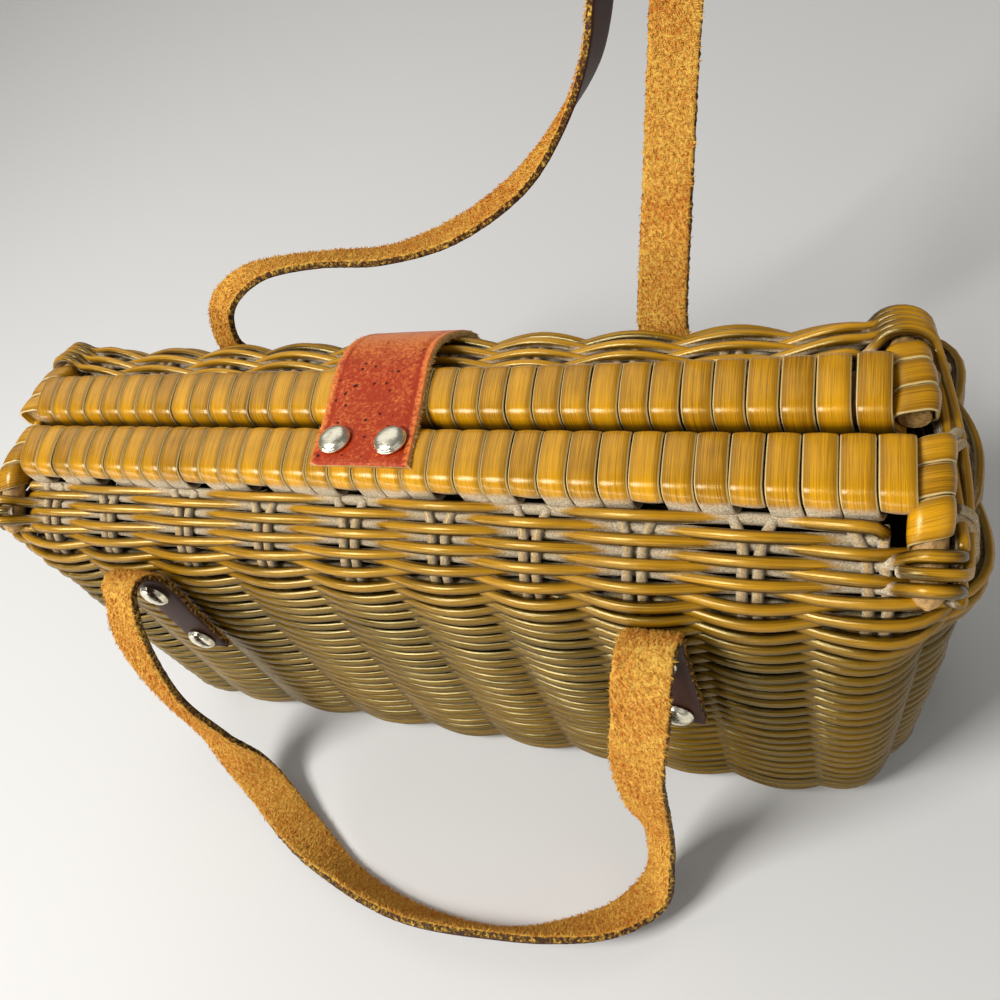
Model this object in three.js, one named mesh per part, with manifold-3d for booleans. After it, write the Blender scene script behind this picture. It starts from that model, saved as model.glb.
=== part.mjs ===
// Wicker basket bag: a woven basket with a gabled top, two wrapped rims that meet over its mouth,
// a leather flap snapped across them and two riveted leather handles.
// Millimetres, +Z up, +X along the rims, +Y to the back, origin on the floor under the middle of the basket.

import * as THREE from 'three';
import { mergeVertices } from 'three/addons/utils/BufferGeometryUtils.js';
import Module from 'manifold-3d';

const wasm = await Module();
wasm.setup();

// Driving sizes
const GAP = 0.35; // clearance between pieces that touch
const SLIVER = 0.02; // edges shorter than this are merged away after cutting
const WELD = 1e-3; // points nearer than this are one point
const ARC_STEPS = 5; // flats on a quarter turn of a rounded edge
const TOP = 131; // floor to the crown of the rims
const BASE_THICK = 5; // woven floor of the basket

// The back half stands to the left of the front half, and is a little longer
const BACK_SHIFT = -6.2;
const BACK_EXTRA = 1.4; // added to the half length
const RIM_MIDDLE = 11.2; // from the middle plane to the middle of a rim, where the shift is full

const RIM = { halfLength: 135, width: 20, height: 10, round: 3.6, inner: 1.2 };
const SIDE_BAR = { width: 9.5, thick: 9, inner: 1.6, bend: 20, ease: 4, sides: 16 };
const SIDE_BAR_FOOT = { front: { y: 36, z: 114 }, back: { y: 38.5, z: 119.5 } };

// The weave: stake pairs stand evenly around the basket, and the wall swells at each one
const STAKES = 26;
const SAMPLES_PER_STAKE = 4;
const WALL_THIN = 3.6; // wall thickness between two stakes
const WALL_THICK = 8.4; // wall thickness over a stake pair

// Plan of the wall's middle surface at each height; the top leans to the back, where the shoulder is fuller
const WALL = [
  { z: 0, halfLength: 126, halfDepth: 31, corner: 20, middleX: -3, middleY: -1.8 },
  { z: 3, halfLength: 132, halfDepth: 36.5, corner: 23, middleX: -3, middleY: -1.8 },
  { z: 10, halfLength: 136, halfDepth: 39, corner: 24, middleX: -2.8, middleY: -1.6 },
  { z: 60, halfLength: 141.5, halfDepth: 39.5, corner: 24, middleX: -1.6, middleY: 0.3 },
  { z: 103, halfLength: 142.5, halfDepth: 40, corner: 24, middleX: -0.6, middleY: 3 },
  { z: 110, halfLength: 143, halfDepth: 39.6, corner: 22, middleX: -0.4, middleY: 4 },
  { z: 115, halfLength: 143.8, halfDepth: 36.8, corner: 18, middleX: -0.2, middleY: 5.2 },
  { z: 119, halfLength: 144.8, halfDepth: 32.3, corner: 12, middleX: 0, middleY: 5.8 },
  { z: 123, halfLength: 145.2, halfDepth: 21.5, corner: 8, middleX: 0, middleY: 0 },
];
const STAKE_SECTION = 3; // the row whose perimeter sets where the stakes stand

const FLAP = { width: 31, thick: 2.2, steps: 34 };
// Run of the flap from its snapped front end, over both rims and down the back wall
const FLAP_ROUTE = [
  { x: 1.1, y: -17, z: 132.5 },
  { x: -0.8, y: -5, z: 132.5 },
  { x: -3, y: 7, z: 132.5 },
  { x: -5.2, y: 19, z: 132.7 },
  { x: -6.8, y: 28, z: 131.4 },
  { x: -7.6, y: 35.5, z: 128.7 },
  { x: -8.1, y: 42.5, z: 124 },
  { x: -8.3, y: 47.6, z: 118 },
  { x: -8.3, y: 50, z: 111 },
  { x: -8.3, y: 50.2, z: 102 },
  { x: -8.3, y: 50.2, z: 88 },
];

const CAP = { radius: 4.8, height: 2.6, edge: 0.7, sides: 20 };
const CAP_SPREAD = 8.9; // each snap cap from the flap's middle
const CAP_FROM_END = 7.4;
const FLAP_RIVET_Z = 97;

const STRAP = { width: 14.4, thick: 2.6, steps: 84 };
const TAB = { tip: 65, lowerRivet: 70.5, middle: 84, upperRivet: 98, top: 104 };
const TAB_FACE = { middle: 45.2, leanFrom: 60, frontLean: 0.055, backLean: 0.092 }; // a tab's middle and its lean
const FRONT_TAB_X = { left: -82.5, right: 80.5 };
const BACK_TAB_X = { left: -90.5, right: 67 };
const FRONT_RIGHT_DROP = 6; // the right front tab is riveted lower than the others

function tabLean(side) {
  return side < 0 ? TAB_FACE.frontLean : TAB_FACE.backLean;
}

function tabY(side, z) {
  return side * TAB_FACE.middle + (z - TAB_FACE.leanFrom) * tabLean(side);
}

function tabStation(side, x, z, toward) {
  return { x, y: tabY(side, z), z, across: [toward, 0, 0] };
}

// Handle routes from the left tab's tip to the right tab's tip, with the direction across the strap
const FRONT_ROUTE = [
  tabStation(-1, FRONT_TAB_X.left, TAB.tip, 1),
  tabStation(-1, FRONT_TAB_X.left, TAB.middle, 1),
  tabStation(-1, FRONT_TAB_X.left, TAB.top, 1),
  { x: -82, y: -45.5, z: 110.6, across: [1, -0.05, 0] },
  { x: -80.8, y: -50.5, z: 112.6, across: [1, -0.15, 0.1] },
  { x: -80.5, y: -55.5, z: 108, across: [1, -0.25, 0] },
  { x: -86, y: -60.5, z: 92, across: [1, -0.15, -0.1] },
  { x: -91, y: -65.5, z: 64, across: [1, -0.2, 0] },
  { x: -91.5, y: -68, z: 33, across: [1, 0, 0.15] },
  { x: -81.5, y: -75, z: 11, across: [0.5, 0.85, 0.1] },
  { x: -62, y: -87, z: 6.5, across: [0.25, 0.9, -0.4] },
  { x: -35.5, y: -99, z: 7.6, across: [0.1, 0.5, -0.85] },
  { x: -7.5, y: -105.2, z: 8, across: [0, 0.4, -0.9] },
  { x: 21, y: -104.5, z: 8.2, across: [-0.05, 0.25, -1] },
  { x: 42, y: -99.5, z: 8, across: [-0.15, 0.45, -0.85] },
  { x: 59, y: -91.5, z: 7, across: [-0.3, 0.7, -0.65] },
  { x: 69.5, y: -81, z: 9, across: [-0.55, 0.75, -0.35] },
  { x: 72, y: -72, z: 24, across: [-0.65, 0.75, -0.15] },
  { x: 73, y: -69.5, z: 50, across: [-1, 0.35, 0] },
  { x: 75.7, y: -67, z: 78, across: [-1, 0.2, 0] },
  { x: 79, y: -61.5, z: 95, across: [-1, 0.1, 0] },
  { x: 80.3, y: -55.5, z: 105.6, across: [-1, 0, 0] },
  { x: 80.5, y: -49, z: 107.8, across: [-1, 0, 0] },
  { x: FRONT_TAB_X.right, y: -44, z: 104.2, across: [-1, 0, 0] },
  tabStation(-1, FRONT_TAB_X.right, TAB.top - 2 - FRONT_RIGHT_DROP, -1),
  tabStation(-1, FRONT_TAB_X.right, TAB.middle - FRONT_RIGHT_DROP, -1),
  tabStation(-1, FRONT_TAB_X.right, TAB.tip - FRONT_RIGHT_DROP, -1),
];
const BACK_ROUTE = [
  tabStation(1, BACK_TAB_X.left, TAB.tip, 1),
  tabStation(1, BACK_TAB_X.left, TAB.middle, 1),
  tabStation(1, BACK_TAB_X.left, TAB.top, 1),
  { x: -92, y: 50.2, z: 116, across: [1, -0.35, 0] },
  { x: -88, y: 52.5, z: 126.5, across: [0.75, -0.6, -0.25] },
  { x: -77, y: 55.5, z: 135, across: [0.35, -0.95, -0.1] },
  { x: -61.5, y: 59, z: 138.5, across: [0.2, -0.9, 0.3] },
  { x: -44, y: 64, z: 136, across: [0.25, -0.85, 0.4] },
  { x: -24, y: 68.5, z: 132, across: [0.25, -0.9, 0.35] },
  { x: 0, y: 76, z: 133.5, across: [0.3, -0.95, 0.15] },
  { x: 22.5, y: 85, z: 142.2, across: [0.4, -0.9, 0.15] },
  { x: 36, y: 95, z: 153, across: [0.35, -0.85, 0.35] },
  { x: 47, y: 105.7, z: 167, across: [0, -0.9, 0.5] },
  { x: 53, y: 118, z: 189, across: [-0.2, -0.9, 0.4] },
  { x: 58, y: 130.5, z: 211, across: [-0.3, -0.95, 0.3] },
  { x: 67, y: 138, z: 225, across: [-0.2, -1, 0.4] },
  { x: 75, y: 133.5, z: 213, across: [-0.5, -0.8, 0.4] },
  { x: 73.5, y: 122.5, z: 190, across: [-0.9, -0.4, 0.2] },
  { x: 70, y: 107.5, z: 166, across: [-1, -0.15, 0] },
  { x: 68.5, y: 84, z: 143.3, across: [-1, 0, 0] },
  { x: 67.4, y: 64, z: 125, across: [-1, 0, 0] },
  { x: 67, y: 52, z: 113.5, across: [-1, 0, 0] },
  tabStation(1, BACK_TAB_X.right, TAB.top, -1),
  tabStation(1, BACK_TAB_X.right, TAB.middle, -1),
  tabStation(1, BACK_TAB_X.right, TAB.tip, -1),
];

// Finishes
function finish(color, roughness, metalness = 0) {
  return new THREE.MeshStandardMaterial({ color, roughness, metalness });
}
const WICKER = finish(0x8a672c, 0.45);
const CANE = finish(0xa87a2c, 0.35);
const FLAP_LEATHER = finish(0x8e3a22, 0.5);
const STRAP_LEATHER = finish(0xb67c38, 0.9);
const SNAP_METAL = finish(0xcfc9a8, 0.25, 1);

// Closed mesh through a row of rings with equally many points, with a fan over each end
function closedTube(rings) {
  const sides = rings[0].length;
  const points = rings.flat();
  const index = [];
  for (let i = 0; i + 1 < rings.length; i++) {
    for (let j = 0; j < sides; j++) {
      const a = i * sides + j;
      const b = i * sides + ((j + 1) % sides);
      index.push(a, b, a + sides, b, b + sides, a + sides);
    }
  }
  [0, rings.length - 1].forEach((ring, end) => {
    const middle = new THREE.Vector3();
    rings[ring].forEach((p) => middle.addScaledVector(p, 1 / sides));
    points.push(middle);
    for (let j = 0; j < sides; j++) {
      const a = ring * sides + j;
      const b = ring * sides + ((j + 1) % sides);
      index.push(points.length - 1, end ? a : b, end ? b : a);
    }
  });
  const geometry = new THREE.BufferGeometry().setFromPoints(points);
  geometry.setIndex(index);
  return facingOut(geometry);
}

// Six times the signed volume tells whether the faces point out; they are turned if not
function facingOut(geometry) {
  const p = geometry.attributes.position;
  const index = geometry.index.array;
  const corner = [new THREE.Vector3(), new THREE.Vector3(), new THREE.Vector3()];
  let volume = 0;
  for (let i = 0; i < index.length; i += 3) {
    corner.forEach((c, k) => c.fromBufferAttribute(p, index[i + k]));
    volume += corner[0].dot(corner[1].clone().cross(corner[2]));
  }
  if (volume < 0) {
    for (let i = 0; i < index.length; i += 3) {
      [index[i], index[i + 1]] = [index[i + 1], index[i]];
    }
  }
  return geometry;
}

function toManifold(geometry) {
  const bare = geometry.clone();
  bare.deleteAttribute('normal');
  bare.deleteAttribute('uv');
  const merged = mergeVertices(bare, WELD);
  return new wasm.Manifold(
    new wasm.Mesh({
      numProp: 3,
      vertProperties: new Float32Array(merged.attributes.position.array),
      triVerts: new Uint32Array(merged.index.array),
    }),
  );
}

function toGeometry(manifold) {
  const mesh = manifold.getMesh();
  const geometry = new THREE.BufferGeometry();
  geometry.setAttribute('position', new THREE.BufferAttribute(mesh.vertProperties, 3));
  geometry.setIndex(new THREE.BufferAttribute(mesh.triVerts, 1));
  return geometry;
}

// How far the basket leans to the left, and grows, at a point towards the top of its back half
function backShare(y, z) {
  const towardsBack = THREE.MathUtils.clamp((y + RIM_MIDDLE) / (2 * RIM_MIDDLE), 0, 1);
  return towardsBack * THREE.MathUtils.clamp(z / TOP, 0, 1);
}

function racked(point) {
  const share = backShare(point.y, point.z);
  const grow = BACK_EXTRA * (point.x / RIM.halfLength);
  return point.setX(point.x + share * (BACK_SHIFT + grow));
}

// The wall's plan is a rounded rectangle, walked from the middle of the front towards +X
function planPieces({ halfLength, halfDepth, corner }) {
  const front = halfLength - corner;
  const side = halfDepth - corner;
  const arc = (Math.PI / 2) * corner;
  return [front, arc, 2 * side, arc, 2 * front, arc, 2 * side, arc, front];
}

function planPoint(section, piece, share) {
  const { halfLength, halfDepth, corner } = section;
  const front = halfLength - corner;
  const side = halfDepth - corner;
  const turn = (centreX, centreY, from) => {
    const angle = from + (share * Math.PI) / 2;
    const [nx, ny] = [Math.cos(angle), Math.sin(angle)];
    return { x: centreX + corner * nx, y: centreY + corner * ny, nx, ny };
  };
  const run = (x0, y0, x1, y1, nx, ny) => {
    return { x: x0 + (x1 - x0) * share, y: y0 + (y1 - y0) * share, nx, ny };
  };
  return [
    () => run(0, -halfDepth, front, -halfDepth, 0, -1),
    () => turn(front, -side, -Math.PI / 2),
    () => run(halfLength, -side, halfLength, side, 1, 0),
    () => turn(front, side, 0),
    () => run(front, halfDepth, -front, halfDepth, 0, 1),
    () => turn(-front, side, Math.PI / 2),
    () => run(-halfLength, side, -halfLength, -side, -1, 0),
    () => turn(-front, -side, Math.PI),
    () => run(-front, -halfDepth, 0, -halfDepth, 0, -1),
  ][piece]();
}

// Piece and share of that piece at a distance along the plan, measured in stakes
function planPlace(stake) {
  const lengths = planPieces(WALL[STAKE_SECTION]);
  const total = lengths.reduce((sum, length) => sum + length, 0);
  let left = ((stake / STAKES) % 1) * total;
  for (let piece = 0; piece < lengths.length; piece++) {
    if (left <= lengths[piece]) {
      return [piece, left / lengths[piece]];
    }
    left -= lengths[piece];
  }
  return [0, 0];
}

// One ring of the wall, on its outer face (side 1) or its inner face (side -1)
function wallRing(row, side) {
  const section = WALL[row];
  const below = WALL[Math.max(row - 1, 0)];
  const above = WALL[Math.min(row + 1, WALL.length - 1)];
  const rise = above.z - below.z;
  const ring = [];
  for (let i = 0; i < STAKES * SAMPLES_PER_STAKE; i++) {
    const stake = i / SAMPLES_PER_STAKE;
    const { x, y, nx, ny } = planPoint(section, ...planPlace(stake));
    // Stakes stand half a step to either side of the middle
    const swell = Math.sin(Math.PI * stake) ** 2;
    const half = (WALL_THIN + (WALL_THICK - WALL_THIN) * swell) / 2;
    const runX = nx * nx * (above.halfLength - below.halfLength) + nx * (above.middleX - below.middleX);
    const runY = ny * ny * (above.halfDepth - below.halfDepth) + ny * (above.middleY - below.middleY);
    const slant = row === 0 ? 0 : Math.atan2(-runX - runY, rise);
    const out = side * half * Math.cos(slant);
    const lift = row === 0 ? 0 : side * half * Math.sin(slant);
    const point = racked(new THREE.Vector3(x + nx * out, y + ny * out, section.z + lift));
    ring.push(point.add(new THREE.Vector3(section.middleX, section.middleY, 0)));
  }
  return ring;
}

// The inner face starts at the woven floor's top, on a copy of its first ring
function basketShell() {
  const rows = WALL.map((_, row) => row);
  const outer = rows.map((row) => wallRing(row, 1));
  const inner = rows.slice(2).map((row) => wallRing(row, -1));
  const floorRing = inner[0].map((p) => p.clone().setZ(BASE_THICK));
  return closedTube([...outer, ...inner.reverse(), floorRing]);
}

// A wrapped rim is a bar with rounded edges, from its inner side outwards
function rimBar(side, grow) {
  const [w, h, r] = [RIM.width / 2 + grow, RIM.height / 2 + grow, RIM.round];
  const shape = new THREE.Shape();
  shape.absarc(w - r, h - r, r, 0, Math.PI / 2);
  shape.absarc(-w + r, h - r, r, Math.PI / 2, Math.PI);
  shape.absarc(-w + r, -h + r, r, Math.PI, 1.5 * Math.PI);
  shape.absarc(w - r, -h + r, r, 1.5 * Math.PI, 2 * Math.PI);
  const half = RIM.halfLength + (side > 0 ? BACK_EXTRA : 0) + grow;
  const bar = new THREE.ExtrudeGeometry(shape, { depth: 2 * half, bevelEnabled: false, curveSegments: ARC_STEPS });
  bar.translate(0, 0, -half);
  // The section's x becomes y and its y becomes z, so the bar runs along X
  bar.rotateX(Math.PI / 2).rotateZ(Math.PI / 2);
  const shift = side > 0 ? BACK_SHIFT : 0;
  return bar.translate(shift, side * (RIM.inner + RIM.width / 2), TOP - RIM.height / 2);
}

// A side bar is a core rod that closes the end of a rim and bends down the shoulder to the top of the wall
function sideBar(side, end, grow) {
  const level = TOP - RIM.height / 2;
  const foot = side < 0 ? SIDE_BAR_FOOT.front : SIDE_BAR_FOOT.back;
  const slope = Math.atan2(level - foot.z, foot.y - SIDE_BAR.bend);
  const [sin, cos] = [Math.sin(slope), Math.cos(slope)];
  const rimEnd = RIM.halfLength + (side > 0 ? BACK_EXTRA : 0);
  const x = (side > 0 ? BACK_SHIFT : 0) + end * (rimEnd + GAP + SIDE_BAR.width / 2);
  // Stations along the rod: how far out, how high, and the share of the slope that the rod has taken up
  const stations = [
    { y: SIDE_BAR.inner - grow, z: level, turn: 0 },
    { y: SIDE_BAR.bend - SIDE_BAR.ease, z: level, turn: 0 },
    { y: SIDE_BAR.bend, z: level - (SIDE_BAR.ease * sin) / 4, turn: 0.5 },
    { y: SIDE_BAR.bend + SIDE_BAR.ease * cos, z: level - SIDE_BAR.ease * sin, turn: 1 },
    { y: foot.y + grow * cos, z: foot.z - grow * sin, turn: 1 },
  ];
  const rings = stations.map(({ y, z, turn }) => {
    const ring = [];
    for (let i = 0; i < SIDE_BAR.sides; i++) {
      const angle = (2 * Math.PI * i) / SIDE_BAR.sides;
      const across = (SIDE_BAR.width / 2 + grow) * Math.cos(angle);
      const up = (SIDE_BAR.thick / 2 + grow) * Math.sin(angle);
      const lean = up * Math.sin(turn * slope);
      ring.push(new THREE.Vector3(x + across, side * (y + lean), z + up * Math.cos(turn * slope)));
    }
    return ring;
  });
  return closedTube(rings);
}

// The shell is cut clear of the rims and side bars that it is bound to
function basketBody() {
  let body = toManifold(basketShell());
  for (const side of [-1, 1]) {
    body = body.subtract(toManifold(rimBar(side, GAP)));
    for (const end of [-1, 1]) {
      body = body.subtract(toManifold(sideBar(side, end, GAP)));
    }
  }
  const pieces = body.simplify(SLIVER).decompose();
  pieces.sort((a, b) => b.volume() - a.volume());
  return toGeometry(pieces[0]);
}

// A flat strip of leather along a route, square to the direction across it
function strip(route, width, thick, steps) {
  const path = new THREE.CatmullRomCurve3(route.map((p) => new THREE.Vector3(p.x, p.y, p.z)), false, 'centripetal');
  const acrossPath = new THREE.CatmullRomCurve3(route.map((p) => new THREE.Vector3(...(p.across ?? [1, 0, 0]))));
  const rings = [];
  for (let i = 0; i <= steps; i++) {
    const middle = path.getPoint(i / steps);
    const along = path.getTangent(i / steps);
    const across = acrossPath.getPoint(i / steps);
    across.addScaledVector(along, -across.dot(along)).normalize();
    const face = across.clone().cross(along);
    const corners = [[1, 1], [-1, 1], [-1, -1], [1, -1]];
    rings.push(
      corners.map(([a, f]) =>
        middle.clone().addScaledVector(across, (a * width) / 2).addScaledVector(face, (f * thick) / 2),
      ),
    );
  }
  return closedTube(rings);
}

// The flap's ends stay parallel to the rims, so its strip is sheared and not turned
function flapStrip() {
  const straight = FLAP_ROUTE.map(({ y, z }) => ({ x: 0, y, z }));
  const geometry = strip(straight, FLAP.width, FLAP.thick, FLAP.steps);
  const p = geometry.attributes.position;
  for (let i = 0; i < p.count; i++) {
    p.setX(i, p.getX(i) + flapMiddle(p.getY(i)));
  }
  return geometry;
}

function flapMiddle(y) {
  const row = FLAP_ROUTE.findIndex((p, i) => i > 0 && (y <= p.y || i === FLAP_ROUTE.length - 1));
  const [from, to] = [FLAP_ROUTE[row - 1], FLAP_ROUTE[row]];
  const share = to.y > from.y ? THREE.MathUtils.clamp((y - from.y) / (to.y - from.y), 0, 1) : 1;
  return from.x + (to.x - from.x) * share;
}

// Domed cap on its axis, with a short upright edge
function dome() {
  const profile = [new THREE.Vector2(0, 0), new THREE.Vector2(CAP.radius, 0), new THREE.Vector2(CAP.radius, CAP.edge)];
  const arc = new THREE.EllipseCurve(0, CAP.edge, CAP.radius, CAP.height - CAP.edge, 0, Math.PI / 2);
  arc.getPoints(ARC_STEPS).slice(1, -1).forEach((p) => profile.push(new THREE.Vector2(p.x, p.y)));
  profile.push(new THREE.Vector2(0, CAP.height));
  return new THREE.LatheGeometry(profile, CAP.sides);
}

const bag = new THREE.Group();
const ENDS = [[-1, 'left'], [1, 'right']];

function add(name, geometry, material) {
  const mesh = new THREE.Mesh(geometry, material.clone());
  mesh.name = name;
  bag.add(mesh);
  return mesh;
}

add('basket_body', basketBody(), WICKER);
add('front_rim', rimBar(-1, 0), CANE);
add('back_rim', rimBar(1, 0), CANE);
for (const [side, half] of [[-1, 'front'], [1, 'back']]) {
  for (const [end, hand] of ENDS) {
    add(`${half}_${hand}_side_bar`, sideBar(side, end, 0), CANE);
  }
}

add('closure_flap', flapStrip(), FLAP_LEATHER);
for (const [end, hand] of ENDS) {
  const capY = FLAP_ROUTE[0].y + CAP_FROM_END;
  const cap = add(`snap_cap_${hand}`, dome(), SNAP_METAL);
  cap.rotation.x = Math.PI / 2;
  cap.position.set(flapMiddle(capY) + end * CAP_SPREAD, capY, FLAP_ROUTE[0].z + FLAP.thick / 2 + GAP);

  const rivet = add(`flap_rivet_${hand}`, dome(), SNAP_METAL);
  const foot = FLAP_ROUTE.at(-1);
  rivet.position.set(foot.x + end * CAP_SPREAD, foot.y + FLAP.thick / 2 + GAP, FLAP_RIVET_Z);
}

add('front_handle', strip(FRONT_ROUTE, STRAP.width, STRAP.thick, STRAP.steps), STRAP_LEATHER);
add('back_handle', strip(BACK_ROUTE, STRAP.width, STRAP.thick, STRAP.steps), STRAP_LEATHER);
const TABS = [
  { name: 'front_left', x: FRONT_TAB_X.left, side: -1, drop: 0 },
  { name: 'front_right', x: FRONT_TAB_X.right, side: -1, drop: FRONT_RIGHT_DROP },
  { name: 'back_left', x: BACK_TAB_X.left, side: 1, drop: 0 },
  { name: 'back_right', x: BACK_TAB_X.right, side: 1, drop: 0 },
];
for (const tab of TABS) {
  const tabTilt = Math.atan(tabLean(tab.side));
  for (const [place, height] of [['lower', TAB.lowerRivet], ['upper', TAB.upperRivet]]) {
    const z = height - tab.drop;
    const rivet = add(`${tab.name}_rivet_${place}`, dome(), SNAP_METAL);
    const off = tab.side * (STRAP.thick / 2 + GAP);
    rivet.rotation.x = (tab.side < 0 ? Math.PI : 0) - tabTilt;
    rivet.position.set(tab.x, tabY(tab.side, z) + off * Math.cos(tabTilt), z - off * Math.sin(tabTilt));
  }
}

export default bag;
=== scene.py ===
"""Looks of the wicker basket bag: woven strands, cane wraps, leather and metal around the packed solids.

Metres, +Z up, +X along the rims, +Y to the back, the same frame as the solids.
Tables are written in millimetres and scaled by MM where they are defined, apart from the handles' routes
and tabs, which are scaled where they are used.
"""

import math

import bpy
import numpy as np
from mathutils import Matrix, Vector


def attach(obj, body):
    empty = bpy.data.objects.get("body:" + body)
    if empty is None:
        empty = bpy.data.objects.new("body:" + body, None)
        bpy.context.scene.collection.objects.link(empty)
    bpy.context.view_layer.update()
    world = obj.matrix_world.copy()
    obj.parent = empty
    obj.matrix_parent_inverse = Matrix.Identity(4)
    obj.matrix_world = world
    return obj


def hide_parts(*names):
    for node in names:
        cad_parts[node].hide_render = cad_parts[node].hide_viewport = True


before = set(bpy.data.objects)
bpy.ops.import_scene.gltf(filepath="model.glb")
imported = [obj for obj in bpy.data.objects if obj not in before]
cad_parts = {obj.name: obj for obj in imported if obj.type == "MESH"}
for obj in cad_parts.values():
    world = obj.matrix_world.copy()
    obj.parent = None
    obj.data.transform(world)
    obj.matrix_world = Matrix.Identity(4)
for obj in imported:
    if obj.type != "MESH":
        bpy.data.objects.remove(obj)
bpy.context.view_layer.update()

bl_info = {
    "name": "Wicker basket bag",
    "version": (1, 0, 0),
    "blender": (4, 5, 0),
    "location": "View3D > Sidebar > Basket",
    "description": "Builds a woven basket bag with cane rims, a leather flap and riveted handles",
    "category": "Add Mesh",
}

MM = 0.001
BODY = "root"
FRONT, BACK = -1, 1
LEFT, RIGHT = -1, 1
SIDE_NAMES = {FRONT: "front", BACK: "back"}
END_NAMES = {LEFT: "left", RIGHT: "right"}

# Heights and half sizes that the solids share
TOP = 131 * MM
RIM = {"half_length": 135 * MM, "width": 20 * MM, "height": 10 * MM, "round": 3.6 * MM, "inner": 1.2 * MM}
RIM_CROWN = 1.3 * MM
TURN_LEAN = {LEFT: 4 * MM, RIGHT: -2 * MM}  # how much the turns at the ends lean beyond their winding on
TURN_STRAY = {"lean": 0.008, "roll": 0.006, "width": (0.97, 1.01)}  # how turns differ, in radians and shares
# Where a turn is tucked, carries dust, or carries painted shade: its outer and inner faces, and heights over
# the rim's middle
TURN_FACE = {"reach": 5 * MM, "fade": 3 * MM}
TURN_TUCK = {"from": 1.2 * MM, "over": 4.5 * MM, "narrower": 0.34}
TURN_DUST = {"from": 3.2 * MM, "over": 3.4 * MM}
TURN_RECESS_SHADE = {"from": 3 * MM, "over": 2.5 * MM}
# Across a turn of cane, from its middle: where it starts to darken towards its edges, and where its pale edge
# starts and is full; the pale edge is partly dust in the seam and partly a painted highlight
CANE_MARKS = {"darkening": 1.4 * MM, "edge": 3.3 * MM, "bare": 3.6 * MM}
RIM_MIDDLE = RIM["inner"] + RIM["width"] / 2
RIM_LEVEL = TOP - RIM["height"] / 2
BACK_SWELL = {"from": 40 * MM, "over": 90 * MM, "share": 0.09}  # how the back rim thickens to the right
BACK_LOOSE = 0.8 * MM  # how far the back rim's last turn has slipped out
BACK_SHIFT = -6.2 * MM
BACK_EXTRA = 1.4 * MM
BACK_SPLAY = {"shift": -4.5 * MM, "over": 27 * MM}  # how much further left the back stands behind its rim
SIDE_BAR = {"height": 8.6 * MM, "bend": 20 * MM, "pressed": 0.8 * MM}
SIDE_BAR_INNER = {FRONT: 1.6 * MM, BACK: 3.6 * MM}
ROD_INSET = 1.8 * MM  # how far a bar's rod ends inside its first turn of cane
ROD_ROUND = 3 * MM  # length over which a rod's foot is rounded off
ROD_SHARE = 0.8  # how much of the cane's thickness lies outside a rod
CORE_SHARE = 0.9  # how much of the cane and its tuck lies outside a rim's core
CORE_INSET = 2 * MM  # how far a rim's core ends inside its last turns
BAR_CORNER = 3 * MM
BAR_EASE = {"before": 7 * MM, "drop": 0.6 * MM}  # where a side bar starts to bend, and its drop by then
SIDE_BAR_WIDTH = {FRONT: 9.2 * MM, BACK: 10.6 * MM}
BAR_ROW = 100 * MM  # between the straight rows in which the bars' turns are first laid out
SIDE_BAR_FOOT = {FRONT: (36 * MM, 114 * MM), BACK: (38.5 * MM, 119.5 * MM)}

# Plan of the wall's middle surface: z, half length, half depth, corner radius, middle x, middle y
WALL = MM * np.array([
    (0, 126, 31, 20, -3, -1.8),
    (3, 132, 36.5, 23, -3, -1.8),
    (10, 136, 39, 24, -2.8, -1.6),
    (60, 141.5, 39.5, 24, -1.6, 0.3),
    (94, 143.5, 40, 21, -0.8, 2.6),
    (104, 146.5, 40, 15, -0.6, 3.2),
    (110, 148, 39.6, 13, -0.4, 4),
    (115, 147.5, 36.8, 12, -0.2, 5.2),
    (119, 146.5, 32.3, 11, 0, 5.8),
    (123, 145.2, 21.5, 8, 0, 0),
])
STAKE_SECTION = 3
PROFILE_SAMPLES = 500
PROFILE_EASE = 9 * MM

# Stake pairs: where they stand on the front, and how many there are on each end and on the back
FRONT_STAKES = MM * np.array([-122, -97, -65, -35, -5, 23, 49, 76, 103, 128])
STAKES = 26
FRONT_LAST, BACK_FIRST, BACK_LAST = 9, 13, 22
BACK_STAKES_REACH = 126 * MM
BACK_STAKES = np.linspace(-BACK_STAKES_REACH, BACK_STAKES_REACH, BACK_LAST - BACK_FIRST + 1)
KEY_STAKE = 5  # the top row passes in front of this one

# Distance between rows of the weave, by distance down from the rim
ROW_PITCH = MM * np.array([(0, 3.05), (8, 2.65), (20, 2.45), (35, 2.35), (70, 2.3), (125, 2.0)])
SHOULDER_ROWS = 6
# Where the front strand turns round the side bars, from a bar's inner end, how far apart its turns are,
# and how far round it goes, in degrees from the bar's outer side
FRONT_LOOP = {"from": 26.5 * MM, "step": 7 * MM, "round": 125, "points": 15}
# Back rows that run on round the ends: place on the back bar, place on the front bar,
# and over it (1) or under it (-1)
END_RUNS = {
    1: (26 * MM, 30 * MM, 1),
    2: (28.5 * MM, 25 * MM, -1),
    3: (31 * MM, 33 * MM, -1),
    4: (33.5 * MM, 28 * MM, -1),
    5: (36 * MM, 36 * MM, -1),
}
# How they lie between the bars, and how far they go round the front bars, in degrees from the outer side
END_RUN = {"over": 1.0 * MM, "bow": 1.2 * MM, "sag": 2.0 * MM, "rise": 0.4}
END_ROUND = {1: 140, -1: -90}
# How the back rows climb to the back bars
BACK_LIFT = {"over": 36 * MM, "out": 1.5 * MM, "up": 2.8 * MM, "power": 1.5}
ROW_SHORT = 4 * MM  # how far before the rim's end a shoulder row ends
# How the back's top row ends before the back bars, with the angles of its curl in degrees
HOOK = {"short": 13 * MM, "radius": 3.2 * MM, "round": (20, 150)}
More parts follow.
